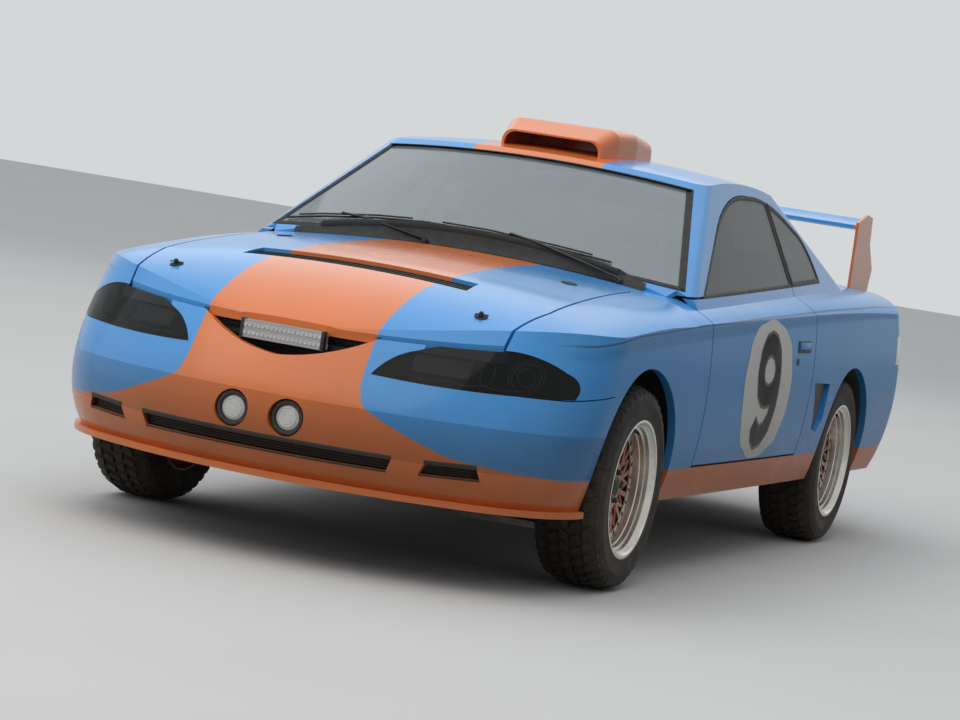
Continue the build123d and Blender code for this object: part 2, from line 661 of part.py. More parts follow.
def make_outside_parts():
    # roof scoop with an open front
    rows = [(2170, 190, 1405), (2290, 214, 1452), (2450, 230, 1458), (2640, 226, 1440), (2900, 150, 1378)]

    def section(s, half, top, by):
        w = half - by
        h = top - by
        return Wire(edges_of([(-w, 1280), (w, 1280), (w, h - 40), (w - 12, h - 12, "m"), (w - 40, h),
                              (40 - w, h), (12 - w, h - 12, "m"), (-w, h - 40)],
                             lambda p: at(p[0], s, p[1])))

    scoop = Solid.make_loft([section(*row, 0.0) for row in rows], True)
    mouth = Solid.make_loft([section(s, half, top, 14.0) for s, half, top in
                             ((2120, 186, 1398), (2290, 214, 1448), (2560, 218, 1440))], True)
    save("roof_scoop", (scoop - mouth) - cabin(0))

    # wing on the boot lid
    blade = side_prism([(4212, 1236), (4290, 1232, "m"), (4400, 1270), (4398, 1280), (4290, 1252, "m"),
                        (4212, 1250)], -652, 652)
    plate = side_prism([(4215, 940), (4500, 940), (4545, 1075), (4440, 1180), (4420, 1290), (4330, 1300),
                        (4196, 1262), (4206, 1130)], 652, 664)
    plate = plate - lower_body(0)
    save("rear_wing", [blade + plate + other_side(plate)])

    # light bar and round lamps
    bar = block(-134, 134, 88, 124, 646, 700) + block(-300, 300, 124, 132, 650, 664)
    save("light_bar", bar & front_prism([(-300, 720)] + MOUTH_FRONT[:5] + [(300, 720)], 60, 200))
    pod = rod((89, 14, 439), (89, 110, 439), 52) - rod((89, 0, 439), (89, 22, 439), 40)
    save("spot_lamps", both(pod + block(60, 118, 100, 205, 380, 420)))

    # lip under the bumper
    lip = extrude(make_face(outline(248.0, 46.0, 4500.0, 884.0, 1250.0, 450.0, 260.0, 3500.0,
                                    SIDE_BULGE, WIDEST_AT)), 20)
    inner = extrude(make_face(outline(240.0, 130.0, 4500.0, 820.0, 1170.0, 380.0, 260.0, 3500.0,
                                      SIDE_BULGE, WIDEST_AT)), 60)
    lip = (lip - inner) & block(-960, 960, -10, BUMPER_BACK, 240, 300)
    lip = cut(lip, both(arch(AXLE_FRONT, ARCH_FRONT_Z, ARCH_FRONT_R, 600)))
    save("front_lip", lip)


def main():
    os.makedirs("parts", exist_ok=True)
    hollow = make_panels()
    floor = make_floor(hollow)
    on_axis = make_front_frame(hollow)
    make_drive()
    make_front_axle(on_axis)
    make_wheels()
    make_cabin_parts(floor)
    make_outside_parts()


main()
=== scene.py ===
import bpy
import bmesh
import json
import math
from mathutils import Vector, Matrix
from mathutils.bvhtree import BVHTree


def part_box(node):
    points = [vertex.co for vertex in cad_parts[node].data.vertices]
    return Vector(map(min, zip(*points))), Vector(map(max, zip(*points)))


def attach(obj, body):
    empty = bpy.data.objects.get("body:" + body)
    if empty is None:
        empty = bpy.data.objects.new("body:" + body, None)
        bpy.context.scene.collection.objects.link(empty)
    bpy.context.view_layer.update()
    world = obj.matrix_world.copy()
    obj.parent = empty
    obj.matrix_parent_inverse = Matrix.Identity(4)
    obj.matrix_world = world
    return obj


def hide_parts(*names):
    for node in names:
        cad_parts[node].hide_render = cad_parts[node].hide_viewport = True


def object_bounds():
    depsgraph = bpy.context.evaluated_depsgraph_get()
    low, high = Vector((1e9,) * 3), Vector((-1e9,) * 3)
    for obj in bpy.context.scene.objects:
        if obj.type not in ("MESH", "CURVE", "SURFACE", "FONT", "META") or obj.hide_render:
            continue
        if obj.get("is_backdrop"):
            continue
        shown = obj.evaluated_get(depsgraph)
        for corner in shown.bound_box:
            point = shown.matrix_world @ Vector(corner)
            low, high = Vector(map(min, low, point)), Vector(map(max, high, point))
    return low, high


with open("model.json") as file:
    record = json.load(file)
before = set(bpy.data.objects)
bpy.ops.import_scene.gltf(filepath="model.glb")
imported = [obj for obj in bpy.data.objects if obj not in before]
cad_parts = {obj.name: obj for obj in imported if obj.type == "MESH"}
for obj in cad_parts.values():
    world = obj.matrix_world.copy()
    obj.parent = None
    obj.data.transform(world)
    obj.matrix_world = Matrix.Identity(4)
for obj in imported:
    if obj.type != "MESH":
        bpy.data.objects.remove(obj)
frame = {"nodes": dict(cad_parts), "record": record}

half = 2.305  # metres from the nose to the origin
nodes = frame["nodes"]
lowFirst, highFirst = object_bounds()
both = (1, -1)  # left and right along x
sides = (("left", 1), ("right", -1))
xAxis, yAxis, zAxis = Vector((1, 0, 0)), Vector((0, 1, 0)), Vector((0, 0, 1))
now = {}  # the node tree in hand and the shape in hand: points v, faces f, material of each face m


def say(text):
    print("stage:", text)


def mm(x, y, z):
    # a step given in millimetres
    return Vector((x, y, z)) / 1000


def at(x, s, z):
    # millimetres, s back from the nose, to the row frame
    return Vector((x / 1000, s / 1000 - half, z / 1000))


def lin(code):
    # colour of the screen in hex to linear light
    parts = [int(code[i:i + 2], 16) / 255 for i in (1, 3, 5)]
    return [c / 12.92 if c <= 0.04045 else ((c + 0.055) / 1.055) ** 2.4 for c in parts] + [1.0]


def setIn(node, sets):
    for key, value in sets.items():
        if isinstance(value, bpy.types.NodeSocket):
            now["tree"].links.new(value, node.inputs[key])
        else:
            node.inputs[key].default_value = value


def addNode(kind, sets=None, **props):
    node = now["tree"].nodes.new(kind)
    for key, value in props.items():
        setattr(node, key, value)
    setIn(node, sets or {})
    return node


def calc(op, a, b=0.0, clamp=False):
    return addNode("ShaderNodeMath", {0: a, 1: b}, operation=op, use_clamp=clamp).outputs[0]


def times(first, *others):
    # product of several values or sockets
    for other in others:
        first = calc("MULTIPLY", first, other)
    return first


def mixColour(factor, a, b, how="MIX"):
    return addNode("ShaderNodeMix", {0: factor, 6: a, 7: b}, data_type="RGBA", blend_type=how).outputs[2]


def shaded(colour, tone):
    # the colour made lighter or darker by a grey tone around 1
    grey = addNode("ShaderNodeCombineColor", {0: tone, 1: tone, 2: tone}).outputs[0]
    return mixColour(1.0, colour, grey, "MULTIPLY")


def remap(value, a, b, c=0.0, d=1.0, how="LINEAR"):
    return addNode("ShaderNodeMapRange", {0: value, 1: a, 2: b, 3: c, 4: d},
                   interpolation_type=how, clamp=True).outputs[0]


def noise(where, size, detail=3.0, rough=0.55):
    # size is the real width of one blotch in millimetres
    sets = {"Vector": where, "Scale": 1000 / size, "Detail": detail, "Roughness": rough}
    return addNode("ShaderNodeTexNoise", sets).outputs[0]


def newMaterial(name):
    m = bpy.data.materials.new(name)
    m.use_nodes = True
    now["tree"] = m.node_tree
    m.node_tree.nodes.clear()
    shader = addNode("ShaderNodeBsdfPrincipled")
    addNode("ShaderNodeOutputMaterial", {0: shader.outputs[0]})
    where = addNode("ShaderNodeTexCoord").outputs["Object"]
    return m, shader, where, addNode("ShaderNodeSeparateXYZ", {0: where}).outputs


def finish(shader, height, strength, distance, **sets):
    # surface relief and the shader's values; distance in metres
    setIn(shader, {key.replace("_", " "): value for key, value in sets.items()})
    bump = addNode("ShaderNodeBump", {"Height": height, "Strength": strength, "Distance": distance})
    setIn(shader, {"Normal": bump.outputs[0]})


def dustMask(where, xyz, low, high, power=1.0):
    # road dust, thick at the sill and behind the wheels, broken up by noise
    rise = remap(xyz[2], high, low, 0.0, 1.0, "SMOOTHSTEP")
    cloud = remap(noise(where, 200, 5.0, 0.6), 0.35, 0.7, 0.25, 1.0)
    fine = remap(noise(where, 11), 0.35, 0.65, 0.6, 1.0)
    return times(rise, cloud, fine, power)


def curveOf(value, points):
    # a drawn line: straight runs between the points, both in metres
    curve = addNode("ShaderNodeFloatCurve", {"Factor": 1.0, "Value": value})
    c = curve.mapping.curves[0]
    c.points[0].location, c.points[1].location = points[0], points[-1]
    for p in points[1:-1]:
        c.points.new(*p)
    for p in c.points:
        p.handle_type = "VECTOR"
    curve.mapping.update()
    return curve.outputs[0]


livery = {
    "blue": "#3F97DC", "orange": "#E27838", "dust": "#9A8468", "crease shade line": "#16384F",
    "stripeHalf": 0.278, "roofStripeHalf": 0.246, "lowBand": 0.364,
    # the nose: orange below this line, half width against height
    "bell": [(0.0, 0.95), (0.272, 0.95), (0.280, 0.60), (0.285, 0.56), (0.295, 0.53), (0.305, 0.51), (0.34, 0.49),
             (0.38, 0.471), (0.474, 0.432), (0.564, 0.399), (0.70, 0.381), (0.86, 0.364), (1.0, 0.364)],
    # the crease along the side: place along the car (metres / 5) against height
    "crease": [(0.0, 0.74), (0.105, 0.771), (0.160, 0.809), (0.288, 0.848), (0.442, 0.882), (0.627, 0.918),
               (0.786, 0.937), (1.0, 0.94)],
}


def paint(name, code, striped=True, bell=False, crease=False, tips=0.0):
    # two-stage car enamel: solid colour under clear coat, faint orange peel, a veil of dust low down
    m, shader, where, xyz = newMaterial(name)
    base, orange = lin(code), lin(livery["orange"])
    side = calc("ABSOLUTE", xyz[0])
    if striped:
        halfWide = remap(xyz[2], 1.0, 1.3, livery["stripeHalf"], livery["roofStripeHalf"])
        foot = curveOf(side, livery["bell"]) if bell else livery["lowBand"]
        mask = calc("MAXIMUM", calc("LESS_THAN", side, halfWide), calc("LESS_THAN", xyz[2], foot))
        base = mixColour(mask, base, orange)
    if tips:
        base = mixColour(calc("GREATER_THAN", side, tips), base, orange)
    toned = shaded(base, remap(noise(where, 350, 2.0), 0.3, 0.7, 0.95, 1.04))
    specks = remap(noise(where, 24, 6.0, 0.7), 0.60, 0.72, 0.0, 0.35)
    splash = times(specks, remap(xyz[2], 0.85, 0.35))
    dirt = calc("MAXIMUM", times(dustMask(where, xyz, 0.2, 0.72), 0.26), splash)
    colour = mixColour(dirt, toned, lin(livery["dust"]))
    height, strength, distance = noise(where, 4, 1.0), 0.03, 0.0006
    if crease:
        along = calc("DIVIDE", calc("ADD", xyz[1], half), 5.0)
        drop = calc("SUBTRACT", xyz[2], curveOf(along, livery["crease"]))
        onSide = remap(side, 0.72, 0.84, 0.0, 1.0, "SMOOTHSTEP")
        # painted shade: a dark line drawn along the crease, where the surface turns down
        line = times(calc("LESS_THAN", calc("ABSOLUTE", drop), 0.0035), onSide)
        colour = mixColour(times(line, 0.75), colour, lin(livery["crease shade line"]))
        under = remap(drop, -0.05, -0.003, 0.0, 1.0, "SMOOTHSTEP")
        ridge = times(under, calc("LESS_THAN", drop, 0.0), onSide)
        height, strength, distance = calc("ADD", times(height, 0.02), ridge), 0.5, 0.012
    elif bell:
        # the cover folds under at half height, so the part below it looks darker
        fold = remap(xyz[2], 0.37, 0.502)
        height, strength, distance = calc("ADD", fold, times(height, 0.0004)), 1.0, 0.045
    # fine dust dulls the flanks, where the surface is seen at a flat angle
    gloss = remap(side, 0.78, 0.87, 1.0, 0.2)
    finish(shader, height, strength, distance, Base_Color=colour, Coat_Roughness=0.1,
           Roughness=calc("ADD", 0.24, times(dirt, 0.5)), Specular_IOR_Level=times(gloss, 0.36),
           Coat_Weight=times(gloss, calc("SUBTRACT", 0.4, dirt, clamp=True)))
    return m


def plain(name, code, rough, metal=0.0, grain=17, depth=0.12, tones=0.12, dusty=0.3, coat=0.0,
          dustCode="#8E7C66", low=0.1, high=0.7, shine=0.5):
    # one colour with grain in tone, gloss and surface, plus dust near the ground; grain in millimetres
    m, shader, where, xyz = newMaterial(name)
    cloud, slow = noise(where, grain, 4.0), noise(where, grain * 12)
    tone = remap(calc("ADD", times(cloud, 0.5), times(slow, 0.5)), 0.3, 0.7, 1 - tones, 1 + tones)
    colour = shaded(lin(code), tone)
    if dusty:
        colour = mixColour(dustMask(where, xyz, low, high, dusty), colour, lin(dustCode))
    finish(shader, cloud, depth, 0.001, Base_Color=colour, Metallic=metal, Coat_Weight=coat,
           Specular_IOR_Level=shine, Roughness=remap(slow, 0.3, 0.7, max(rough - 0.08, 0.03), rough + 0.1))
    return m


def glass(name, code, alpha, rough, sky_film_amount, sky_film_colour="#98A19F", coat=1.0, shine=0.5, lid=9.0):
    # tinted car glass: the tint darkens what is behind, the surface mirrors the sky, and a pale film paints more of
    # that reflection on in broad patches
    m, shader, where, xyz = newMaterial(name)
    # painted reflection: a pale film in broad patches, mixed into the colour and making the glass less clear
    dusty = times(remap(noise(where, 900, 1.0, 0.4), 0.3, 0.7, 0.78, 1.0), sky_film_amount)
    # lid: above this height and inside the lamp corner the lens is masked from behind
    masked = times(calc("GREATER_THAN", xyz[2], lid), calc("LESS_THAN", calc("ABSOLUTE", xyz[0]), 0.64))
    clear = calc("ADD", alpha, times(dusty, 0.4), clamp=True)
    setIn(shader, {"Base Color": mixColour(dusty, lin(code), lin(sky_film_colour)), "IOR": 1.52, "Coat Weight": coat,
                   "Roughness": remap(dusty, 0.0, 0.5, rough, rough + 0.05), "Specular IOR Level": shine,
                   "Alpha": calc("MAXIMUM", clear, masked)})
    return m


def weave(name, code, other, thread=2.2, rough=0.85):
    # woven cloth: two thread directions, drawn coarser than real so that it shows; thread in millimetres
    m, shader, where, xyz = newMaterial(name)
    sets = {"Vector": where, "Scale": 1000 / thread / 6.28, "Distortion": 0.6, "Detail": 1.0}
    cross = times(*[addNode("ShaderNodeTexWave", sets, bands_direction=axis).outputs["Fac"] for axis in "XZ"])
    slow = remap(noise(where, 90), 0.3, 0.7, 0.0, 0.5)
    colour = mixColour(slow, mixColour(cross, lin(code), lin(other)), lin(code), "MULTIPLY")
    finish(shader, cross, 0.4, 0.0008, Base_Color=colour, Roughness=rough, Sheen_Weight=0.25)
    return m


say("materials")
mats = {
    # light blue enamel with the orange stripe over the middle
    "body_paint": paint("blue_enamel_with_orange_stripe", livery["blue"]),
    # the same with the crease along the flank: a bump, and a dark line of painted shade along it
    "side_paint": paint("blue_enamel_with_side_crease_and_shade_line", livery["blue"], crease=True),
    # the nose: the stripe opens downwards like a bell
    "bumper_paint": paint("blue_enamel_with_orange_bell", livery["blue"], bell=True),
    # warm orange, dusty low down
    "orange_paint": paint("orange_enamel", livery["orange"], False),
    # blue blade between orange end plates
    "wing_paint": paint("blue_wing_enamel", livery["blue"], False, tips=0.638),
    # pale grey screen, with a strong film of painted sky reflection
    "screen_glass": glass("laminated_screen_glass", "#39423F", 0.46, 0.03, 0.6, "#A4B1B7"),
    # dark side windows with little shine
    "side_glass": glass("toughened_side_glass", "#1E2428", 0.62, 0.03, 0.12, coat=0.2, shine=0.2),
    # near-black lens with the reflector dim behind it
    "lamp_glass": glass("smoked_polycarbonate_lens", "#040405", 0.6, 0.04, 0.02, coat=0.0, shine=0.2, lid=0.688),
    # fine-grained black trim
    "black_plastic": plain("black_textured_polypropylene", "#151617", 0.5, grain=2.5),
    # soft black edges
    "black_trim": plain("black_rubber_seal", "#0C0D0D", 0.55, grain=3, dusty=0.2),
    # deep red, glossy
    "red_lens": plain("red_acrylic_lens", "#7A1512", 0.15, grain=25, dusty=0.2, coat=1.0),
    # bright satin metal
    "led_housing": plain("bright_cast_aluminium", "#C9CCCE", 0.3, 0.7, 12, dusty=0.1),
    # dull grey, thick with dust
    "underbody_paint": plain("sprayed_underbody_coating", "#33383B", 0.7, grain=8, dusty=0.6),
    # dark satin metal
    "dark_aluminium": plain("radiator_aluminium", "#3F4244", 0.5, 0.8, 8),
    # brown-grey rough metal
    "cast_metal": plain("sand_cast_iron", "#3B3A38", 0.65, 0.6, 6, dusty=0.6),
    # mid-grey cast metal
    "cast_alloy": plain("die_cast_alloy", "#84878A", 0.5, 0.8, 8, dusty=0.5),
    # grey metal rubbed by use
    "raw_steel": plain("worn_steel", "#55585A", 0.5, 0.85, 8, dusty=0.5),
    # warm grey, tinted by heat
    "exhaust_steel": plain("heat_stained_steel", "#7C6F62", 0.4, 0.9, 16, dusty=0.4),
    # matt charcoal
    "cabin_plastic": plain("soft_touch_dash_moulding", "#232527", 0.65, grain=2, dusty=0.1),
    # matt black nap
    "wheel_leather": plain("suede_wheel_cover", "#1B1B1C", 0.75, grain=1.5, depth=0.3, dusty=0.0),
    # black with a low gloss
    "seat_shell": plain("glass_fibre_seat_shell", "#1C1E22", 0.4, grain=5, depth=0.1, dusty=0.1),
    # dark blue cloth with a lighter thread
    "seat_fabric": weave("woven_seat_cloth", "#1B2436", "#34456A"),
    # light grey tubes
    "cage_paint": plain("powder_coated_tube", "#D8DADB", 0.35, grain=10, dusty=0.0),
    # black rubber, browned by the road
    "tyre_rubber": plain("dusty_tyre_rubber", "#171616", 0.8, grain=3.5, depth=0.25, dusty=0.5,
                         dustCode="#7D6C58", low=-0.3, high=0.95),
    # bronze spokes under a thin coat
    "wheel_bronze": plain("bronze_wheel_paint", "#A65A34", 0.4, 0.2, 16, dusty=0.45, coat=0.4, low=-0.1, high=0.9),
    # bright rim, browned by dust
    "polished_lip": plain("polished_aluminium_lip", "#D9D6CF", 0.2, 0.85, 9, depth=0.05, dusty=0.5,
                          dustCode="#A18A70", low=-0.2, high=0.75),
    # milky white lens
    "white_lens": plain("frosted_white_lens", "#D9DAD6", 0.25, 0.0, 9, depth=0.2, dusty=0.15, coat=1.0),
    # small warm lights
    "amber_lens": plain("amber_acrylic_lens", "#C4671A", 0.2, 0.0, 9, dusty=0.1, coat=1.0),
    # off-white disc, matt
    "white_vinyl": plain("white_vinyl_disc", "#E4E3DD", 0.45, 0.0, 20, depth=0.05, tones=0.04, dusty=0.35,
                         low=0.2, high=0.9, shine=0.15),
    # matt black number
    "black_vinyl": plain("black_vinyl_number", "#161515", 0.45, 0.0, 14, depth=0.05, dusty=0.25, shine=0.08),
    # black behind the headlamp lens
    "lamp_black": plain("satin_black_lamp_housing", "#070808", 0.3, grain=6, dusty=0.0),
    # pale rings that show dimly through the lens
    "dark_chrome": plain("dark_chromed_reflector", "#A4A8AC", 0.3, 0.7, 9, depth=0.05, dusty=0.0),
    # clear bright red
    "red_bottle": plain("red_powder_coat", "#8E1914", 0.3, grain=8, depth=0.05, dusty=0.0, coat=0.6),
    # brown edge of the number
    "brown_vinyl": plain("brown_vinyl_outline", "#4A2A1E", 0.45, 0.0, 14, depth=0.05, dusty=0.2),
    # ribbed red webbing
    "red_belt": weave("red_belt_webbing", "#7C1614", "#A92A22", 2.5, 0.7),
}
# light bar: bright between its end caps, its brackets black
mats["bar_housing"], shader, where, xyz = newMaterial("painted_bar_housing")
barEnds = calc("GREATER_THAN", calc("ABSOLUTE", xyz[0]), 0.136)
setIn(shader, {"Base Color": mixColour(barEnds, lin("#B4B5B6"), lin("#0C0D0E")), "Metallic": 0.3,
               "Roughness": remap(noise(where, 12), 0.3, 0.7, 0.3, 0.45)})

# nodes that show another material than that of their slot in the record
wearing = {"front_bumper": "bumper_paint", "front_fenders": "side_paint", "door_left": "side_paint",
           "door_right": "side_paint", "body_shell": "side_paint", "seats": "seat_shell",
           "headlamp_pods": "lamp_black", "light_bar": "bar_housing"}
for item in frame["record"]["subparts"]:
    mesh = nodes[item["node"]].data
    mesh.materials.clear()
    mesh.materials.append(mats[wearing.get(item["node"], item["material_slot"])])


def treeOf(*names):
    # one searchable surface from the meshes of several CAD nodes
    points, faces = [], []
    for name in names:
        base = len(points)
        points += [v.co.copy() for v in nodes[name].data.vertices]
        faces += [[base + i for i in p.vertices] for p in nodes[name].data.polygons]
    return BVHTree.FromPolygons(points, faces)


def newShape():
    now.update(v=[], f=[], m=[])


def grow(points, faces, which=0):
    base = len(now["v"])
    now["v"] += [Vector(p) for p in points]
    now["f"] += [[base + i for i in f] for f in faces]
    now["m"] += [which] * len(faces)


def gridFaces(count, wide, loop=False, wrap=False):
    # faces between rows of wide points; loop joins the last row to the first, wrap joins the ends of a row
    faces = []
    for i in range(count if loop else count - 1):
        for k in range(wide if wrap else wide - 1):
            j, m = (i + 1) % count, (k + 1) % wide
            faces.append([i * wide + k, i * wide + m, j * wide + m, j * wide + k])
    return faces


def growGrid(points, wide, which=0, loop=False):
    grow(points, gridFaces(len(points) // wide, wide, loop), which)


def spread(a, b, count):
    # the ends of count equal steps from a to b
    return [a + (b - a) * k / count for k in range(count + 1)]


def around(count, offset=0.0):
    # angles of a full turn in equal steps, the first one offset by a share of a step
    return [2 * math.pi * (k + offset) / count for k in range(count)]


def upright(a):
    # direction in the plane across the car
    return Vector((math.cos(a), 0, math.sin(a)))


def lathe(profile, centre, axis, steps, which=0, start=0.0, turn=360.0):
    # profile: pairs of (along the axis, radius) in millimetres
    axis = Vector(axis).normalized()
    u = axis.cross(zAxis if abs(axis.z) < 0.9 else yAxis).normalized()
    w = axis.cross(u)
    full = turn == 360.0
    points = []
    for i in range(steps if full else steps + 1):
        a = math.radians(start + turn * i / steps)
        out = u * math.cos(a) + w * math.sin(a)
        points += [centre + axis * (x / 1000) + out * (r / 1000) for x, r in profile]
    growGrid(points, len(profile), which, full)


def tube(path, radius, corners=8, which=0, closed=False, flat=1.0):
    # round bar along a path of points in metres; radius in millimetres
    r, n, side, points = radius / 1000, len(path), None, []
    for i, p in enumerate(path):
        before = path[i - 1] if i or closed else p
        after = path[(i + 1) % n] if i < n - 1 or closed else p
        along = (after - before).normalized()
        if side is None:
            side = along.cross(zAxis)
            if side.length < 0.1:
                side = along.cross(yAxis)
        side = (side - along * side.dot(along)).normalized()
        up = along.cross(side)
        points += [p + side * math.cos(a) * r + up * math.sin(a) * r * flat for a in around(corners)]
    faces = gridFaces(n, corners, closed, True)
    if not closed:
        faces += [list(range(corners))[::-1], [(n - 1) * corners + k for k in range(corners)]]
    grow(points, faces, which)


def slab(low, high, edge=2.0, which=0, turn=None):
    # block with bevelled edges between two corners in metres
    bm = bmesh.new()
    bmesh.ops.create_cube(bm, size=1.0)
    mid, size = (low + high) / 2, high - low
    for v in bm.verts:
        v.co = v.co * size
    bmesh.ops.bevel(bm, geom=bm.edges[:], offset=edge / 1000, segments=2, affect="EDGES", profile=0.6)
    if turn is not None:
        bmesh.ops.rotate(bm, verts=bm.verts, cent=(0, 0, 0), matrix=turn)
    bm.verts.ensure_lookup_table()
    grow([v.co + mid for v in bm.verts], [[v.index for v in f.verts] for f in bm.faces], which)
    bm.free()


def bar(x0, s0, z0, x1, s1, z1, edge=2.0, which=0):
    # slab between two places of the car in millimetres, the two x in either order
    x0, x1 = sorted((x0, x1))
    slab(at(x0, s0, z0), at(x1, s1, z1), edge, which)


def strap(points, normals, wide, thick=2.2, which=0):
    # flat belt along points; each point has the direction that faces out
    n, rows = len(points), []
    for i, (p, out) in enumerate(zip(points, normals)):
        along = (points[min(i + 1, n - 1)] - points[max(i - 1, 0)]).normalized()
        side = along.cross(out).normalized()
        up = side.cross(along).normalized()
        w, t = wide / 2000, thick / 2000
        rows += [p - side * w - up * t, p + side * w - up * t, p + side * w + up * t, p - side * w + up * t]
    grow(rows, gridFaces(n, 4, False, True) + [[0, 1, 2, 3], [4 * n - k for k in (1, 2, 3, 4)]], which)


def bridge(low, high, back=(0, 0, 0), which=0):
    # strip between two rows of points, moved by back
    growGrid([p + Vector(back) for pair in zip(low, high) for p in pair], 2, which)


def between(rows, t):
    # smooth curve through rows of numbers at t = 0, 1, 2 ...
    i = max(0, min(int(t), len(rows) - 2))
    f = t - i
    p = [rows[max(i - 1, 0)], rows[i], rows[i + 1], rows[min(i + 2, len(rows) - 1)]]
    return [b + 0.5 * f * (c - a + f * (2 * a - 5 * b + 4 * c - d + f * (3 * (b - c) + d - a)))
            for a, b, c, d in zip(*p)]


def curved(points, count):
    # the smooth curve through a few points, cut into count steps
    return [Vector(between([tuple(p) for p in points], t)) for t in spread(0, len(points) - 1, count)]


def refined(path):
    # twice as many points on the same broken line
    return [a.lerp(b, t) for a, b in zip(path, path[1:]) for t in (0, 0.5)] + [path[-1]]


def finishPiece(name, slots, body="chassis", angle=35):
    # closes the shape in hand; slots: material names, in the order of the faces' material numbers
    mesh = bpy.data.meshes.new(name)
    mesh.from_pydata(now["v"], [], now["f"])
    for s in slots:
        mesh.materials.append(mats[s])
    mesh.polygons.foreach_set("material_index", now["m"])
    bm = bmesh.new()
    bm.from_mesh(mesh)
    bmesh.ops.remove_doubles(bm, verts=bm.verts, dist=1e-6)
    bmesh.ops.recalc_face_normals(bm, faces=bm.faces)
    bm.to_mesh(mesh)
    bm.free()
    mesh.shade_smooth()
    mesh.set_sharp_from_angle(angle=math.radians(angle))
    o = bpy.data.objects.new(name, mesh)
    bpy.context.collection.objects.link(o)
    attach(o, body)
    newShape()
    return o


newShape()
outer = treeOf("body_shell", "front_fenders", "front_bumper", "rear_bumper", "hood", "deck_lid", "door_left",
               "door_right", "side_skirts", "windshield", "rear_window", "door_glass_left", "door_glass_right",
               "quarter_windows", "roof_scoop", "headlamp_lenses", "tail_lamps")
shellTree = treeOf("body_shell")


def landing(start, way, lift, tree):
    # where a ray meets the car, raised along the surface normal by lift millimetres, and that normal
    hit, normal = (tree or outer).ray_cast(start, way)[:2]
    if normal.dot(way) > 0:
        normal = -normal
    return hit + normal * (lift / 1000), normal


# probes from above, from a side, from the front and from behind; x, s and z in millimetres
def down(x, s, lift=0.0, tree=None):
    return landing(at(x, s, 2500), -zAxis, lift, tree)


def aside(s, z, side, lift=0.0, tree=None):
    return landing(at(1500 * side, s, z), xAxis * -side, lift, tree)


def ahead(x, z, lift=0.0, tree=None):
    return landing(at(x, -600, z), yAxis, lift, tree)


def behind(x, z, lift=0.0):
    return landing(at(x, 5400, z), -yAxis, lift, None)


def boxAt(p, low, high, edge=2.0, which=0, turn=None):
    # slab around a point, its corners in millimetres from there
    slab(p + mm(*low), p + mm(*high), edge, which, turn)


def crossing(line):
    # each point of a line drawn in the plane, with the direction of the line there
    for i, p in enumerate(line):
        a, b = line[max(i - 1, 0)], line[min(i + 1, len(line) - 1)]
        yield p, Vector((b[0] - a[0], b[1] - a[1])).normalized()


say("window seals")


def outlines(node, facing):
    # edge loops of the outer face of a glass node: lists of (point, normal)
    bm = bmesh.new()
    bm.from_mesh(nodes[node].data)
    bmesh.ops.remove_doubles(bm, verts=bm.verts, dist=3e-5)
    bm.normal_update()
    x, y, z = facing
    picked = {f for f in bm.faces
              if f.normal.dot(Vector((math.copysign(x, f.calc_center_median().x), y, z))) > 0.45}
    after, normals = {}, {}
    for e in bm.edges:
        inside = [f for f in e.link_faces if f in picked]
        if len(inside) == 1 and len(e.link_faces) > 1:
            for a, b in ((e.verts[0], e.verts[1]), (e.verts[1], e.verts[0])):
                after.setdefault(a, []).append(b)
            for v in e.verts:
                normals[v] = normals.get(v, Vector()) + inside[0].normal
    loops, left = [], set(after)
    while left:
        loop, here, last = [], min(left, key=lambda v: v.index), None
        while here is not None and here in left:
            left.discard(here)
            loop.append((here.co.copy(), normals[here].normalized()))
            onward = [v for v in after[here] if v in left and v is not last]
            last, here = here, (onward[0] if onward else None)
        if len(loop) > 8:
            loops.append(loop)
    bm.free()
    return loops


def evened(loop, step):
    # the same loop with points a set distance apart, corners kept
    out = []
    for (p, n), (q, m) in zip(loop, loop[1:] + loop[:1]):
        parts = max(1, round((q - p).length / step))
        out += [(p.lerp(q, k / parts), n.lerp(m, k / parts).normalized()) for k in range(parts)]
    return out


def band(loop, profile):
    # profile: pairs of (millimetres in from the edge, height over the glass)
    middle = sum((p for p, n in loop), Vector()) / len(loop)
    rows = []
    for i, (p, n) in enumerate(loop):
        a, b = loop[i - 1][0], loop[(i + 1) % len(loop)][0]
        d1, d2 = (p - a).normalized(), (b - p).normalized()
        inward = n.cross(d1 + d2).normalized()
        if inward.dot(middle - p) < 0:
            inward = -inward
        stretch = 1 / max(0.6, math.sqrt(max(0.0, (1 + d1.dot(d2)) / 2)))
        rows += [p + inward * (x * stretch / 1000) + n * (h / 1000) for x, h in profile]
    growGrid(rows, len(profile), 0, True)


# where the outer face looks, x away from the middle of the car
sealing = {
    "windshield": {"facing": (0, -0.6, 0.8), "width": 24, "body": "chassis"},
    "rear_window": {"facing": (0, 0.5, 0.85), "width": 24, "body": "chassis"},
    "quarter_windows": {"facing": (1, 0, 0.2), "width": 20, "body": "chassis"},
    "door_glass_left": {"facing": (1, 0, 0.2), "width": 13, "body": "door_left"},
    "door_glass_right": {"facing": (1, 0, 0.2), "width": 13, "body": "door_right"},
}
for node, plan in sealing.items():
    w = plan["width"]
    for loop in outlines(node, plan["facing"]):
        band(evened(loop, 0.03), [(-1.5, 0.2), (-1, 2.2), (3, 3.4), (w - 3, 2.6), (w, 0.6), (w + 0.5, 0.1)])
    finishPiece(node + "_seal", ["black_trim"], plan["body"])

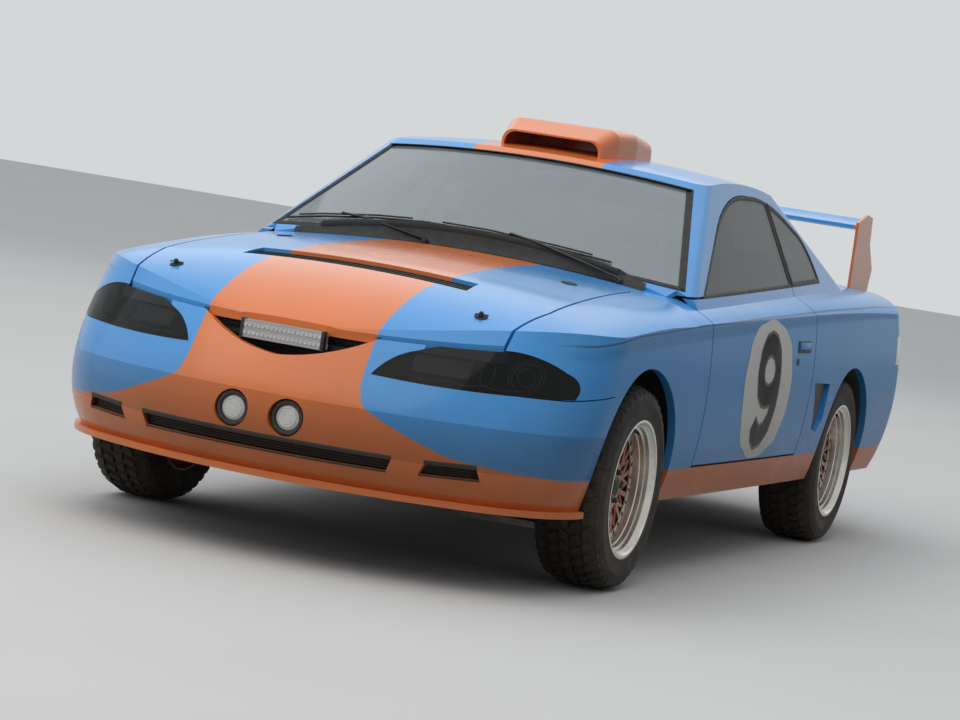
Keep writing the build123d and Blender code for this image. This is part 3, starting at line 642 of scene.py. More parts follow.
say("wipers")
wiping = {
    "left": {"pivot": (560, 1478), "blade": [(-197, 1532), (60, 1520), (300, 1522), (500, 1545)], "arm": 0.46},
    "right": {"pivot": (-150, 1478), "blade": [(-716, 1586), (-560, 1560), (-360, 1540), (-160, 1530)], "arm": 0.42},
}
glassTree = treeOf("windshield", "body_shell", "hood")
for side, plan in wiping.items():
    path = [down(x, s, 7, glassTree)[0] for x, s in plan["blade"]]
    path = path[:1] + [a.lerp(b, t) for a, b in zip(path, path[1:]) for t in (0.33, 0.67, 1.0)]
    tube(path, 5.0, 6, flat=0.8)
    tube([p + mm(0, -3, 9) for p in path[1:-1]], 3.5, 6)
    pivot = down(*plan["pivot"], 4, glassTree)[0]
    grip = path[int(len(path) * plan["arm"])] + mm(0, -4, 14)
    lathe([(-14, 12), (8, 12), (14, 8), (15, 0.5)], pivot, (0, -0.3, 0.95), 16)
    bend = pivot.lerp(grip, 0.35) + mm(0, -12, 14)
    tube([pivot + mm(0, 0, 12), bend, pivot.lerp(grip, 0.75) + mm(0, -4, 10), grip], 7.5, 8, flat=0.6)
    finishPiece("wiper_" + side, ["black_plastic"])

say("number discs")
doors = {1: "door_left", -1: "door_right"}
doorTrees = {side: treeOf(door) for side, door in doors.items()}
disc = {"s": 2272, "z": 634, "wide": 296, "high": 244, "rings": 9, "steps": 72, "square": 0.84}
# strokes of the nine: x, z and half width in millimetres
nine = {"bowl": [(0, 132, 30), (58, 122, 33), (98, 92, 35), (110, 52, 36), (92, 14, 34), (50, -8, 31), (0, -14, 29),
                 (-52, -8, 31), (-94, 16, 35), (-108, 54, 37), (-96, 92, 35), (-56, 122, 32), (0, 133, 30),
                 (40, 128, 31)],
        "tail": [(104, 84, 34), (112, 30, 36), (102, -34, 36), (72, -88, 34), (20, -120, 32), (-40, -128, 31),
                 (-92, -108, 30), (-112, -84, 24)]}


def onDoor(side, x, z, lift):
    return aside(disc["s"] + side * x, disc["z"] + z, side, lift, doorTrees[side])[0]


def ribbon(side, path, lift, which):
    # flat strip along a stroke, laid on the door
    fine = [[p + (q - p) * k / 3 for p, q in zip(a, b)] for a, b in zip(path, path[1:]) for k in range(3)]
    rows = []
    for (x, z, w), d in crossing(fine + [path[-1]]):
        rows += [onDoor(side, 0.98 * (x - d.y * w * t), 1.28 * (z + d.x * w * t) - 10, lift)
                 for t in (-1, -0.5, 0, 0.5, 1)]
    growGrid(rows, 5, which)


for side, door in doors.items():
    points, steps = [onDoor(side, 0, 0, 0.7)], disc["steps"]
    for r in range(1, disc["rings"] + 1):
        for a in around(steps):
            # between an oval and an oblong, with a slightly uneven edge
            edge = 1 + 0.014 * math.sin(3 * a + 0.6) + 0.012 * math.sin(8 * a + 2.0) + 0.009 * math.sin(13 * a)
            x, z = [math.copysign(abs(v) ** disc["square"], v) * edge * r / disc["rings"]
                    for v in (math.cos(a), math.sin(a))]
            points.append(onDoor(side, disc["wide"] * x, disc["high"] * z, 0.7))
    faces = [[0, 1 + k, 1 + (k + 1) % steps] for k in range(steps)]
    faces += [[1 + f[n] for n in (0, 3, 2, 1)] for f in gridFaces(disc["rings"], steps, False, True)]
    grow(points, faces)
    finishPiece("number_disc_" + door[5:], ["white_vinyl"], door)
    for which, wider, lift in ((1, 9, 1.1), (0, 0, 1.6)):
        for path in nine.values():
            ribbon(side, [(x, z, w * 0.92 + wider) for x, z, w in path], lift, which)
    finishPiece("number_nine_" + door[5:], ["black_vinyl", "brown_vinyl"], door)

say("door handles")
handle = {"s": 2716, "z": 782, "long": 176, "high": 44, "lock": (2640, 728)}
for side, door in doors.items():
    p, n = aside(handle["s"], handle["z"], side, 0.0, doorTrees[side])
    turn = (xAxis * side).rotation_difference(n).to_matrix()
    size = mm(5, handle["long"], handle["high"]) / 2
    slab(p - size, p + size, 2.0, 0, turn)
    size, up = mm(13, handle["long"] - 34, handle["high"] - 18) / 2, mm(0, 0, 4)
    slab(p - size + up, p + size + up, 3.0, 1, turn)
    p, n = aside(*handle["lock"], side, 0.0, doorTrees[side])
    lathe([(-2, 13), (2.5, 13), (4, 11), (3, 6), (3.4, 0.3)], p, n, 20, 2)
    finishPiece("handle_" + door[5:], ["black_trim", "body_paint", "raw_steel"], door)

say("front end")
pins = {"front": (512, 361), "rear": (508, 1124)}
for side in both:
    p, n = down(side * pins["front"][0], pins["front"][1])
    lathe([(-2, 21), (2.2, 21), (3, 19), (3, 8), (14, 7), (17, 5), (18, 0.3)], p, n, 20)
    tube([p + n * 0.008 + mm(-16, -12, 0), p + n * 0.010, p + n * 0.008 + mm(20, 12, 0)], 2.2, 6, 1)
    p, n = down(side * pins["rear"][0], pins["rear"][1])
    lathe([(-2, 27), (2, 27), (3, 25), (1, 20), (1.4, 0.3)], p, n, 24)
finishPiece("hood_pins", ["black_trim", "raw_steel"], "hood")


def meshed(low, high, back, front, places, wire):
    # closing sheet behind an opening between two rows of points, and wires before it
    bridge(low, high, back)
    for t in places:
        tube([a.lerp(b, t) + front for a, b in zip(low, high)], wire, 6)


# x from and to, z from and to, number of parts
slotAreas = [(-398, 398, 329, 373, 40), (484, 650, 336, 379, 10), (-650, -484, 336, 379, 10)]
for x0, x1, z0, z1, parts in slotAreas:
    low, high = [[ahead(x, z)[0] for x in spread(x0, x1, parts)] for z in (z0, z1)]
    meshed(low, high, mm(0, 24, 0), mm(0, 19, 0), (0.3, 0.5, 0.7), 2.0)
# black lips of painted shade along the top and foot of each slot, so the dark opening looks taller: corners of the
# slot, x and z
openings = [[(-396, 334), (396, 334), (410, 368), (-410, 368)], [(486, 340), (648, 346), (640, 376), (500, 370)]]
openings.append([(-x, z) for x, z in openings[1]])
for foot0, foot1, top1, top0 in openings:
    for (xa, za), (xb, zb), rise in ((top0, top1, 13), (foot0, foot1, -6)):
        parts = max(8, int(abs(xb - xa) / 20))
        growGrid([ahead(x, z + rise * up, lift)[0] for x, z in zip(spread(xa, xb, parts), spread(za, zb, parts))
                  for up, lift in ((0.04, 0.8), (0.2, 1.8), (0.8, 1.6), (1.0, 0.2))], 4)
finishPiece("bumper_slot_mesh_and_shade_lips", ["black_trim"])

hoodSlot = {"x": 380, "pitch": 19, "edges": (546, 678)}
xs = range(-hoodSlot["x"], hoodSlot["x"] + 1, hoodSlot["pitch"])
low, high = [[down(x, s)[0] for x in xs] for s in hoodSlot["edges"]]
meshed(low, high, mm(0, 0, -13), mm(0, 0, -9), (0.2, 0.4, 0.6, 0.8), 2.2)
finishPiece("hood_slot_mesh", ["black_trim"], "hood")

mouth = {"s": 150, "x": 292, "low": 600, "high": 712, "pitch": 12}
ends, heights = (-mouth["x"], mouth["x"]), (mouth["low"], mouth["high"])
grow([at(x, mouth["s"] + 6, z) for x in ends for z in heights], [[0, 1, 3, 2]])
for x in range(*ends, mouth["pitch"]):
    tube([at(x, mouth["s"], z) for z in heights], 1.2, 4)
for z in range(*heights, mouth["pitch"]):
    tube([at(x, mouth["s"], z) for x in ends], 1.2, 4)
finishPiece("mouth_mesh", ["black_trim"])

say("lamps")
led = {"x": 128, "low": 650, "high": 697, "columns": 18, "rows": 2}
front = (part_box("light_bar")[0].y + half) * 1000
for c in range(led["columns"]):
    for r in range(led["rows"]):
        x = -led["x"] + 2 * led["x"] * (c + 0.5) / led["columns"]
        z = led["low"] + (led["high"] - led["low"]) * (r + 0.5) / led["rows"]
        lathe([(0.5, 6.4), (-2.2, 6.2), (-2.4, 5.4), (-1.0, 2.6), (-2.6, 1.8), (-3.0, 0.2)], at(x, front, z), yAxis,
              10)
for x in (-132, 132):
    bar(x - 5, front - 3, 643, x + 5, front + 20, 703, 1.5, 1)
finishPiece("led_reflectors", ["white_lens", "dark_aluminium"])

spot = {"x": 89, "z": 439, "ribs": (12, 20, 28), "screws": 0.0465}
front = (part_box("spot_lamps")[0].y + half) * 1000
for side in both:
    c = at(side * spot["x"], front, spot["z"])
    lathe([(10, 39), (6, 38), (3.5, 34), (2.0, 22), (1.5, 0.3)], c, yAxis, 32)
    for r in spot["ribs"]:
        lathe([(2.6, r - 1.2), (1.2, r), (2.6, r + 1.2)], c, yAxis, 32)
    lathe([(12, 39.5), (-2.0, 40), (-3.0, 43), (-2.5, 50), (2, 53.5), (14, 54)], c, yAxis, 32, 1)
    for a in around(4, 0.5):
        lathe([(1, 3.2), (-1.2, 3.0), (-1.6, 0.3)], c + upright(a) * spot["screws"] + mm(0, -3, 0), yAxis, 8, 2)
finishPiece("spot_lamp_lenses", ["white_lens", "black_plastic", "raw_steel"])

podTree = treeOf("headlamp_pods")
lampPlan = {"flutes": (398, 572, 16), "bowl": (630, 700), "ring": (602, 652, 17, 34), "round": (700, 657, 50),
            "edge": range(372, 704, 16), "edgeHeight": 613}


def podRing(side, x, z, wide, high, count, lift, wire):
    tube([ahead(side * (x + wide * math.cos(a)), z + high * math.sin(a), lift, podTree)[0] for a in around(count)],
         wire, 6, 0, True)


for side in both:
    # fluted main reflector, low relief between pod and lens
    x0, x1, pitch = lampPlan["flutes"]
    for x in range(x0, x1 - pitch + 1, pitch):
        z0, z1 = lampPlan["bowl"]
        while any(podTree.ray_cast(at(side * u, -600, z1 + 4), yAxis)[0] is None for u in (x, x + pitch)):
            z1 -= 3  # the housing narrows towards the middle of the car
        growGrid([ahead(side * u, z0 + (z1 - z0) * t, lift, podTree)[0] for t in (0, 0.33, 0.66, 1)
                  for u, lift in ((x, 0.6), (x + pitch / 2, 2.6), (x + pitch, 0.6))], 3)
    # ring where the reflector ends, then the round lamp at the outer end
    podRing(side, *lampPlan["ring"], 28, 1.5, 2.4)
    x, z, r = lampPlan["round"]
    c, n = ahead(side * x, z, 0, podTree)
    for out, wire in ((r, 2.0), (r - 9, 2.6)):
        podRing(side, x, z, out * 0.86, out, 36, 1.2, wire)
    lathe([(0.5, 25), (3.4, 24), (4.2, 20), (4.6, 10), (4.7, 0.3)], c, n, 28, 2)
    lathe([(0.5, 31), (2.4, 30), (3.0, 27), (1, 25)], c, n, 28)
    # bright edge along the foot of the housing
    tube([ahead(side * x, lampPlan["edgeHeight"] + 3 * math.sin(k), 1.6, podTree)[0]
          for k, x in enumerate(lampPlan["edge"])], 2.6, 6)
finishPiece("headlamp_reflectors", ["dark_chrome", "black_trim", "dark_aluminium"])

say("side scoops")
# edges of the opening: place at a height, and how far it leans back per millimetre
scoop = {"low": 462, "high": 646, "steps": 24, "across": 16, "inside": 0.8975,
         "front": (2985, 470, -46 / 176), "rear": (3064, 462, 78 / 184)}
for side in both:
    rows = []
    for z in spread(scoop["low"], scoop["high"], scoop["steps"]):
        front, rear = [s + lean * (z - height) for s, height, lean in (scoop["front"], scoop["rear"])]
        rows += [aside(s, z, side, 1.0, shellTree)[0] for s in spread(front, rear, scoop["across"])]
    # a black sheet of painted shade laid in the recess: only the faces deep in the opening
    faces = [f for f in gridFaces(scoop["steps"] + 1, scoop["across"] + 1)
             if all(abs(rows[q].x) < scoop["inside"] for q in f)]
    used = sorted({q for f in faces for q in f})
    grow([rows[q] for q in used], [[used.index(q) for q in f] for f in faces])
finishPiece("side_scoop_shade_sheet", ["black_trim"])

say("cowl grille")
cowl = {"reach": 644, "pitch": 7, "rib": 3.0, "foot": 1476, "glassEdge": 1503}
screenTree = treeOf("windshield")
rows = []
for k, x in enumerate(range(-cowl["reach"], cowl["reach"] + 1, cowl["pitch"])):
    low = down(x, cowl["foot"], 0, shellTree)[0].z * 1000
    hits = [tree.ray_cast(at(x, cowl["glassEdge"], 1300), -zAxis)[0] for tree in (screenTree, shellTree)]
    high = max([hit.z * 1000 for hit in hits if hit is not None] + [low + 2])
    rib = cowl["rib"] * (k % 2)
    rows += [at(x, 1462, low + 0.6), at(x, 1484, low + 2.5 - 0.5 * rib), at(x, 1490 + rib, low + 0.35 * (high - low)),
             at(x, 1494 + rib, low + 0.8 * (high - low)), at(x, 1498, high + 1.2), at(x, 1509, high + 8.5)]
growGrid(rows, 6)
finishPiece("cowl_grille", ["black_plastic"])

say("wheels and tyres")
wheel = {
    "x": 775, "z": 327, "front": 950, "rear": 3523, "blocks": 44, "spokes": 14, "nuts": 5, "lipBolts": 28,
    # the outer face of the tread, then the tyre below it; half of each: place across, radius
    "crown": [(0, 327), (78, 327), (92, 321), (106, 304), (111, 290)],
    "halfTyre": [(80, 317), (90, 314), (99, 306), (105, 298), (109, 288), (110.4, 280), (111.6, 278), (112, 272),
                 (111.6, 262), (110.4, 258), (110.9, 250), (109.8, 247), (110, 236), (108.6, 228), (109.4, 224),
                 (108, 219), (104, 213), (100, 209)],
    # rows: from, to, start along the pitch, length share, slant, all in blocks of the tread
    "rows": [(-103, -60, 0.5, 0.66, 0.10), (-54, -21, 0.05, 0.62, 0.28), (-15, 15, 0.55, 0.66, -0.30),
             (21, 54, 0.1, 0.62, 0.28), (60, 103, 0.6, 0.66, 0.10)],
    # turned lip of the split rim, in steps
    "lip": [(108.6, 222), (109.2, 219), (108.6, 213.6), (106, 212.6), (93, 203.8), (90.5, 199.5), (79, 198.6),
            (76.5, 190.5), (63, 189.4), (60, 186.8), (36, 184.4), (35.6, 176), (37.5, 175), (37.5, 171.5), (34, 171)],
    "centre": [(36.5, 84), (38.5, 82), (39, 66), (44.6, 62.4), (45.2, 60), (45.2, 30)],
    "cap": [(45.0, 31), (52, 29.5), (55, 25), (55.6, 12), (56.4, 10), (56.6, 0.3)],
    "nut": [(0, 12), (2, 12), (2.5, 9.6), (13, 9.4), (16, 6), (16.4, 0.3)],
    "caliper": [(-73, 156), (-73, 106), (-60, 104), (-60, 153), (-24, 153), (-24, 104), (-10, 106), (-10, 152),
                (-18, 160), (-66, 163), (-73, 156)],
}


def crownAt(x):
    # radius of the tread's outer face at a place across it
    x = abs(x)
    for (a, r), (b, q) in zip(wheel["crown"], wheel["crown"][1:]):
        if x <= b:
            return r + (q - r) * (x - a) / (b - a)


def tread(hold):
    # blocks of the tread; hold gives a place on the wheel
    for x0, x1, phase, share, slant in wheel["rows"]:
        for k in range(wheel["blocks"]):
            points = []
            for deep, trim, inset in ((9.5, 0.0, 0.0), (0.0, 0.07, 1.6)):
                xa, xb, t0, t1 = x0 + inset, x1 - inset, k + phase + trim, k + phase + share - trim
                points += [hold(x, 2 * math.pi * t / wheel["blocks"], crownAt(x) - deep - 0.25)
                           for x, t in ((xa, t0), (xb, t0 + slant), (xb, t1 + slant), (xa, t1))]
            grow(points, [[4, 5, 6, 7], [0, 1, 5, 4], [1, 2, 6, 5], [2, 3, 7, 6], [3, 0, 4, 7]])


for end, sideName, side in [(end, *named) for end in ("front", "rear") for named in sides]:
    centre, axle, corner = at(wheel["x"] * side, wheel[end], wheel["z"]), xAxis * side, end + "_" + sideName

    def hold(x, a, r):
        # a place on the wheel: out from its middle plane, angle from the top, radius
        return centre + mm(x * side, math.sin(a) * r, math.cos(a) * r)

    profile = [(-x, r) for x, r in wheel["halfTyre"][::-1]] + [(-40, 318), (0, 318), (40, 318)] + wheel["halfTyre"]
    lathe(profile, centre, axle, 88)
    tread(hold)
    tyre = finishPiece("tyre_tread_" + corner, ["tyre_rubber"], "wheel_" + corner, 30)
    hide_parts("tyre_" + end + "_" + sideName)
    lathe(wheel["lip"], centre, axle, 72)
    for a in around(wheel["lipBolts"], 0.5):
        lathe([(0, 4.4), (3.6, 4.2), (4.4, 2.6), (4.6, 0.2)], hold(35.5, a, 179.5), axle, 6, 2)
    # laced centre: a fork on each spoke
    for k in range(wheel["spokes"]):
        for lean in (-1, 1):
            tube([hold(x, 2 * math.pi * (k + lean * swing) / wheel["spokes"], r)
                  for x, swing, r in ((30, 0.0, 96), (30, 0.32, 128), (27, 0.5, 172))], 6.5, 6, 1)
    lathe(wheel["centre"], centre, axle, 40, 1)
    lathe(wheel["cap"], centre, axle, 32, 3)
    for a in around(wheel["nuts"], 0.25):
        lathe(wheel["nut"], hold(44.8, a, 46.5), axle, 6, 2)
    # tyre valve
    tube([hold(60, 0.35, 188), hold(80, 0.35, 182)], 3.2, 8, 3)
    finishPiece("rim_dress_" + corner, ["polished_lip", "wheel_bronze", "raw_steel", "black_trim"], "wheel_" + corner)
    # caliper over the disc, on the side away from the bumper
    lathe(wheel["caliper"], centre, axle, 10, 0, 65 if end == "front" else 245, 50)
    finishPiece("caliper_" + corner, ["cast_alloy"], "knuckle_" + sideName if end == "front" else "chassis", 25)

say("tail")
# upright bars at x, long ribs at heights; the clear part at the inner end; fine ribs: first x, pitch, number
tail = {"bars": [430, 560, 690], "barHeights": range(712, 820, 12), "long": range(306, 876, 19),
        "heights": (710, 764, 818), "clear": range(318, 426, 9), "clearHeights": (724, 758),
        "fine": (446, 16.4, 26), "fineHeights": range(716, 818, 17)}
for side in both:
    for x in tail["bars"]:
        bridge(*[[behind(side * u, z, 1.5)[0] for z in tail["barHeights"]] for u in (x - 5, x + 5)])
    for z in tail["heights"]:
        tube([behind(side * x, z, 0.6)[0] for x in tail["long"]], 2.4, 6)
    bridge(*[[behind(side * x, z, 1.0)[0] for x in tail["clear"]] for z in tail["clearHeights"]], which=1)
    first, pitch, count = tail["fine"]
    for x in [first + pitch * k for k in range(count)]:
        if min(abs(x - b) for b in tail["bars"]) > 9:
            tube([behind(side * x, z, 0.4)[0] for z in tail["fineHeights"]], 1.6, 5, 2)
finishPiece("tail_lamp_ribs", ["black_trim", "white_lens", "red_lens"])

plate = {"place": (0, 4580, 495), "wide": 150, "high": 50, "panel": (178, 72)}
p, w, h = at(*plate["place"]), plate["wide"], plate["high"]
# black panel that closes the recess in the bumper
x, z = plate["panel"]
boxAt(p, (-x, -16, -z), (x, -5, z), 4.0, 1)
boxAt(p, (-w, -3.5, -h), (w, 2.5, h), 1.0)
for x in (-w - 6, w + 2):
    boxAt(p, (x, -3, -h - 4), (x + 4, 4, h + 4), 1.0, 1)
for z in (-h - 6, h + 2):
    boxAt(p, (-w - 6, -3, z), (w + 6, 4, z + 4), 1.0, 1)
for x in (-110, 110):
    lathe([(0, 6), (2, 5.6), (3, 0.3)], p + mm(x, 2.5, 36), yAxis, 12, 2)
finishPiece("blank_rear_plate", ["white_vinyl", "black_trim", "raw_steel"])

exhaust = {"place": (-480, 4588, 238), "pipe": 23, "steps": 32}
r = exhaust["pipe"]
lathe([(-10, 26.4), (18, 26.6), (20, 28), (20.4, 25), (18, r), (-60, r), (-60, 0.3)], at(*exhaust["place"]), yAxis,
      exhaust["steps"])
finishPiece("exhaust_tip", ["exhaust_steel"])

say("bucket seats")
bucket = {
    "x": 375, "wall": 7, "steps": (54, 28), "padSteps": (40, 20), "padEdges": (0.09, 0.16),
    # along the seat from its front edge to its top: s, z, half width, wall height
    "stations": [(1968, 492, 176, 34), (2070, 470, 184, 74), (2220, 436, 190, 118), (2360, 414, 192, 150),
                 (2452, 452, 192, 158), (2496, 580, 190, 138), (2528, 730, 196, 130), (2562, 880, 192, 150),
                 (2588, 960, 140, 90), (2612, 1060, 122, 62)],
    # from the middle to the edge: shares of the half width and of the wall height
    "across": [(0.0, 0.0), (0.45, 0.0), (0.72, 0.03), (0.88, 0.16), (0.96, 0.42), (1.0, 0.74), (1.03, 1.0)],
    # pads: from, to along the seat, from, to across it, thickness, number of sewn channels along
    "pads": {"cushion": [(0.08, 3.25, -0.52, 0.52, 38, 5)],
             "back": [(4.35, 6.9, -0.52, 0.52, 32, 5)],
             "sides": [(0.5, 3.6, 0.6, 0.93, 20, 1), (0.5, 3.6, -0.93, -0.6, 20, 1), (4.5, 7.2, 0.6, 0.93, 22, 1),
                       (4.5, 7.2, -0.93, -0.6, 22, 1), (8.05, 8.95, -0.5, 0.5, 26, 1)]},
}


def change(rows, t, step):
    # how a smooth row of numbers changes around t
    return [b - a for a, b in zip(between(rows, max(t - step, 0)), between(rows, min(t + step, len(rows) - 1)))]


def seatPoint(side, t, u, lift=0.0):
    # t along the seat, u across it from -1 to 1, lift in millimetres towards the driver
    s, z, wide, wall = between(bucket["stations"], t)
    ds, dz = change(bucket["stations"], t, 0.05)[:2]
    forward = Vector((0, -dz, ds)).normalized()
    k = abs(u) * (len(bucket["across"]) - 1)
    x, rise = between(bucket["across"], k)
    dx, dr = change(bucket["across"], k, 0.1)
    n = math.hypot(dx * wide, dr * wall) or 1
    sign = 1 if u >= 0 else -1
    out = forward * (dx * wide / n) - xAxis * (sign * dr * wall / n)
    place = at(side * bucket["x"] + sign * x * wide, s, z)
    return place + forward * (max(rise, 0) * wall / 1000) + out * (lift / 1000)


def skin(side, ts, us, lift):
    # closed sheet over a stretch of the seat; lift(i, j) gives the height of the top over the shell
    points = [seatPoint(side, t, u, lift(i, j)) for i, t in enumerate(ts) for j, u in enumerate(us)]
    points += [seatPoint(side, t, u, 1.0) for t in ts for u in us]
    n, m = len(ts), len(us)
    base, faces = n * m, gridFaces(n, m)
    faces += [[base + i for i in f[::-1]] for f in faces]
    rim = [*range(m), *range(2 * m - 1, base, m), *range(base - 2, base - m - 1, -1), *range(base - 2 * m, 0, -m)]
    faces += [[a, b, base + b, base + a] for a, b in zip(rim, rim[1:] + rim[:1])]
    grow(points, faces)


def piping(side, ts, us, lift, radius, count):
    # round bead along the edge of a stretch of the seat
    path = [(t, us[-1]) for t in ts] + [(ts[-1], u) for u in us[-2:0:-1]]
    path += [(t, us[0]) for t in ts[::-1]] + [(ts[0], u) for u in us[1:-1]]
    tube([seatPoint(side, t, u, lift) for t, u in path], radius, count, 1, True)


for sideName, side in sides:
    ts, us = spread(0, len(bucket["stations"]) - 1, bucket["steps"][0]), spread(-1, 1, bucket["steps"][1])
    skin(side, ts, us, lambda i, j: bucket["wall"])
    piping(side, ts, us, 3.5, 6.5, 8)
    shell = finishPiece("seat_bucket_" + sideName, ["seat_shell", "black_trim"])
    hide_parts("seats")
    for padName, plans in bucket["pads"].items():
        for t0, t1, u0, u1, thick, channels in plans:
            n, m = bucket["padSteps"]
            ts, us = spread(t0, t1, n), spread(u0, u1, m)

            def swell(i, j):
                # rounded edges, fuller in the middle, dips where the channels are sewn
                a, b = [min(1, min(k, count - k) / count / share)
                        for k, count, share in zip((i, j), bucket["padSteps"], bucket["padEdges"])]
                full = 0.86 + 0.14 * math.sin(math.pi * i / n) * math.sin(math.pi * j / m)
                sewn = abs(math.sin(math.pi * i / n * channels)) if channels > 1 else 1
                return bucket["wall"] + 2 + thick * (a * b) ** 0.45 * full * (1 - 0.3 * (1 - min(1, sewn * 2.4)) ** 2)

            skin(side, ts, us, swell)
            piping(side, ts, us, bucket["wall"] + 3, 3.0, 6)
        pad = finishPiece("seat_pad_" + padName + "_" + sideName, ["seat_fabric", "black_trim"], angle=70)

say("harness")
harness = {"overPad": 47, "wide": 50, "crotch": 44, "tongues": (35, 145, 215, 325, 270)}


def outward(side, t, u):
    return (seatPoint(side, t, u, 10) - seatPoint(side, t, u, 0)).normalized()


for sideName, side in sides:
    over, wide = harness["overPad"], harness["wide"]
    buckle, face = seatPoint(side, 3.3, 0, 74), outward(side, 3.9, 0)
    for lean in (-1, 1):
        places = list(zip(spread(7.1, 4.2, 24), spread(lean * 0.26, lean * 0.14, 24)))
        path = [seatPoint(side, t, u, over + 3) for t, u in places]
        out = [outward(side, t, u) for t, u in places]
        strap(path + [buckle.lerp(path[-1], 0.25) + mm(12 * lean, 0, 0)], out + [face], wide)
        # over the shell and down to the cross tube behind
        top, hole = [seatPoint(side, t, lean * 0.26, lift) for t, lift in ((7.25, over - 6), (7.35, -6))]
        far = at(side * bucket["x"] + lean * 60, 2738, 818)
        strap([path[0], top, hole, hole.lerp(far, 0.5), far], [out[0], Vector((0, -0.5, 1))] + [zAxis] * 3, wide)
        # lap belt from the hip hole
        hip = [seatPoint(side, 3.25, lean * u, lift)
               for u, lift in ((0.95, 12), (0.8, 34), (0.6, 52), (0.36, 62), (0.16, 70))]
        strap(hip + [buckle], [outward(side, 3.4, lean * 0.2)] * 6, wide)
    crotch = [seatPoint(side, t, 0, lift) for t, lift in ((2.3, 38), (2.6, 52), (2.95, 66), (3.25, 72))]
    strap(crotch, [outward(side, 2.8, 0)] * 4, harness["crotch"])
    lathe([(-6, 29), (5, 30), (8, 27), (9, 14), (12, 13), (12.5, 0.3)], buckle, face, 24, 1)
    for a in harness["tongues"]:
        boxAt(buckle + upright(math.radians(a)) * 0.036, (-9, -3, -9), (9, 3, 9), 1.2, 1)
    finishPiece("harness_" + sideName, ["red_belt", "raw_steel"], angle=40)

say("dashboard")
# dials: x, s, z and radius; panel: x, z, half width, half height
gauges = {"dials": [(262, 1699, 792, 34), (478, 1699, 792, 34), (370, 1640, 892, 42), (180, 1699, 792, 26)],
          "panel": (-20, 790, 140, 48), "toggles": 8, "marks": range(225, -46, -27), "needle": 200}
for x, s, z, r in gauges["dials"]:
    c = at(x, s, z)
    lathe([(-50, r + 1), (6, r + 2), (12, r + 1), (14, r - 2), (10, r - 4), (4, r - 5)], c, yAxis, 36)
    lathe([(4, r - 4.5), (4.2, 0.3)], c, yAxis, 36, 1)
    for a in gauges["marks"]:
        mark = upright(math.radians(a))
        tube([c + mark * (reach / 1000) + mm(0, 4.8, 0) for reach in (r - 12, r - 7)], 0.8, 4, 2)
    needle = upright(math.radians(gauges["needle"]))
    tube([c + needle * (reach / 1000) + mm(0, 6, 0) for reach in (-6, r - 12)], 1.0, 5, 3)
    lathe([(4, 4), (8, 3.6), (8.4, 0.3)], c, yAxis, 12)
x, z, w, h = gauges["panel"]
c = treeOf("dashboard").ray_cast(at(x, 2300, z), -yAxis)[0]
boxAt(c, (-w, -6, -h), (w, 4, h), 2.0, 4)
for k, x in enumerate(spread(26 - w, w - 26, gauges["toggles"] - 1)):
    lathe([(-1, 7), (3, 7), (4, 4.5), (7, 4), (8, 2.2), (24, 2.6), (26, 0.3)], c + mm(x, 4, 14), (0, 0.94, 0.34),
          12, 5)
    lathe([(-1, 4), (1.5, 4), (2.4, 0.3)], c + mm(x, 4, -16), yAxis, 10, 3 if k % 2 else 2)
for x in (8 - w, w - 8):
    for z in (8 - h, h - 8):
        lathe([(0, 4), (1.6, 3.6), (2, 0.3)], c + mm(x, 4, z), yAxis, 8, 5)
finishPiece("gauges_and_switches",
            ["black_plastic", "lamp_black", "white_vinyl", "amber_lens", "dark_aluminium", "raw_steel"])

say("door cards")
card = {"s": (1625, 2800), "z": (430, 930), "x": 744, "thick": 5, "swage": 640, "gripHeight": 742,
        "gripEnds": (2382, 2658), "screwHeights": (452, 908),
        "grip": [(2380, 8), (2400, 26), (2440, 36), (2520, 38), (2600, 36), (2640, 26), (2660, 8)]}
for side, door in doors.items():
    ss, zs = spread(*card["s"], 34), spread(*card["z"], 16)
    rows, inside = [], xAxis * -side
    for z in zs:
        for s in ss:
            hit = doorTrees[side].ray_cast(at(side * 300, s, z), xAxis * side)[0]
            x = hit.x * 1000 if hit is not None else side * 749
            edge = min(s - ss[0], ss[-1] - s, 40) / 40 * min(z - zs[0], zs[-1] - z, 40) / 40
            swage = 5 * max(0, math.cos(min(abs(z - card["swage"]) / 26, 2)))
            rows.append(at(x - side * (1.2 + card["thick"] * min(1, edge * 3) + swage * edge), s, z))
    growGrid(rows, len(ss))

    def inward(d, s, z):
        return at(side * (card["x"] - d), s, z)

    strap([inward(d, s, card["gripHeight"]) for s, d in card["grip"]], [inside] * 7, 28, 3, 1)
    for s in card["gripEnds"]:
        lathe([(0, 9), (3, 8.6), (4, 5), (4.4, 0.3)], inward(12, s, card["gripHeight"]), inside, 16, 2)
    for s in spread(1650, 2775, 6):
        for z in card["screwHeights"]:
            lathe([(0, 6), (2, 5.6), (2.6, 0.3)], inward(2, s, z), inside, 10, 2)
    # release lever
    lathe([(-2, 17), (6, 17), (8, 14), (8.4, 0.3)], inward(12, 1980, 800), inside, 20, 3)
    tube([inward(24, 1980, 800), inward(30, 2020, 806), inward(28, 2080, 808)], 6, 8, 2)
    finishPiece("door_card_" + door[5:], ["dark_aluminium", "red_belt", "raw_steel", "black_plastic"], door)

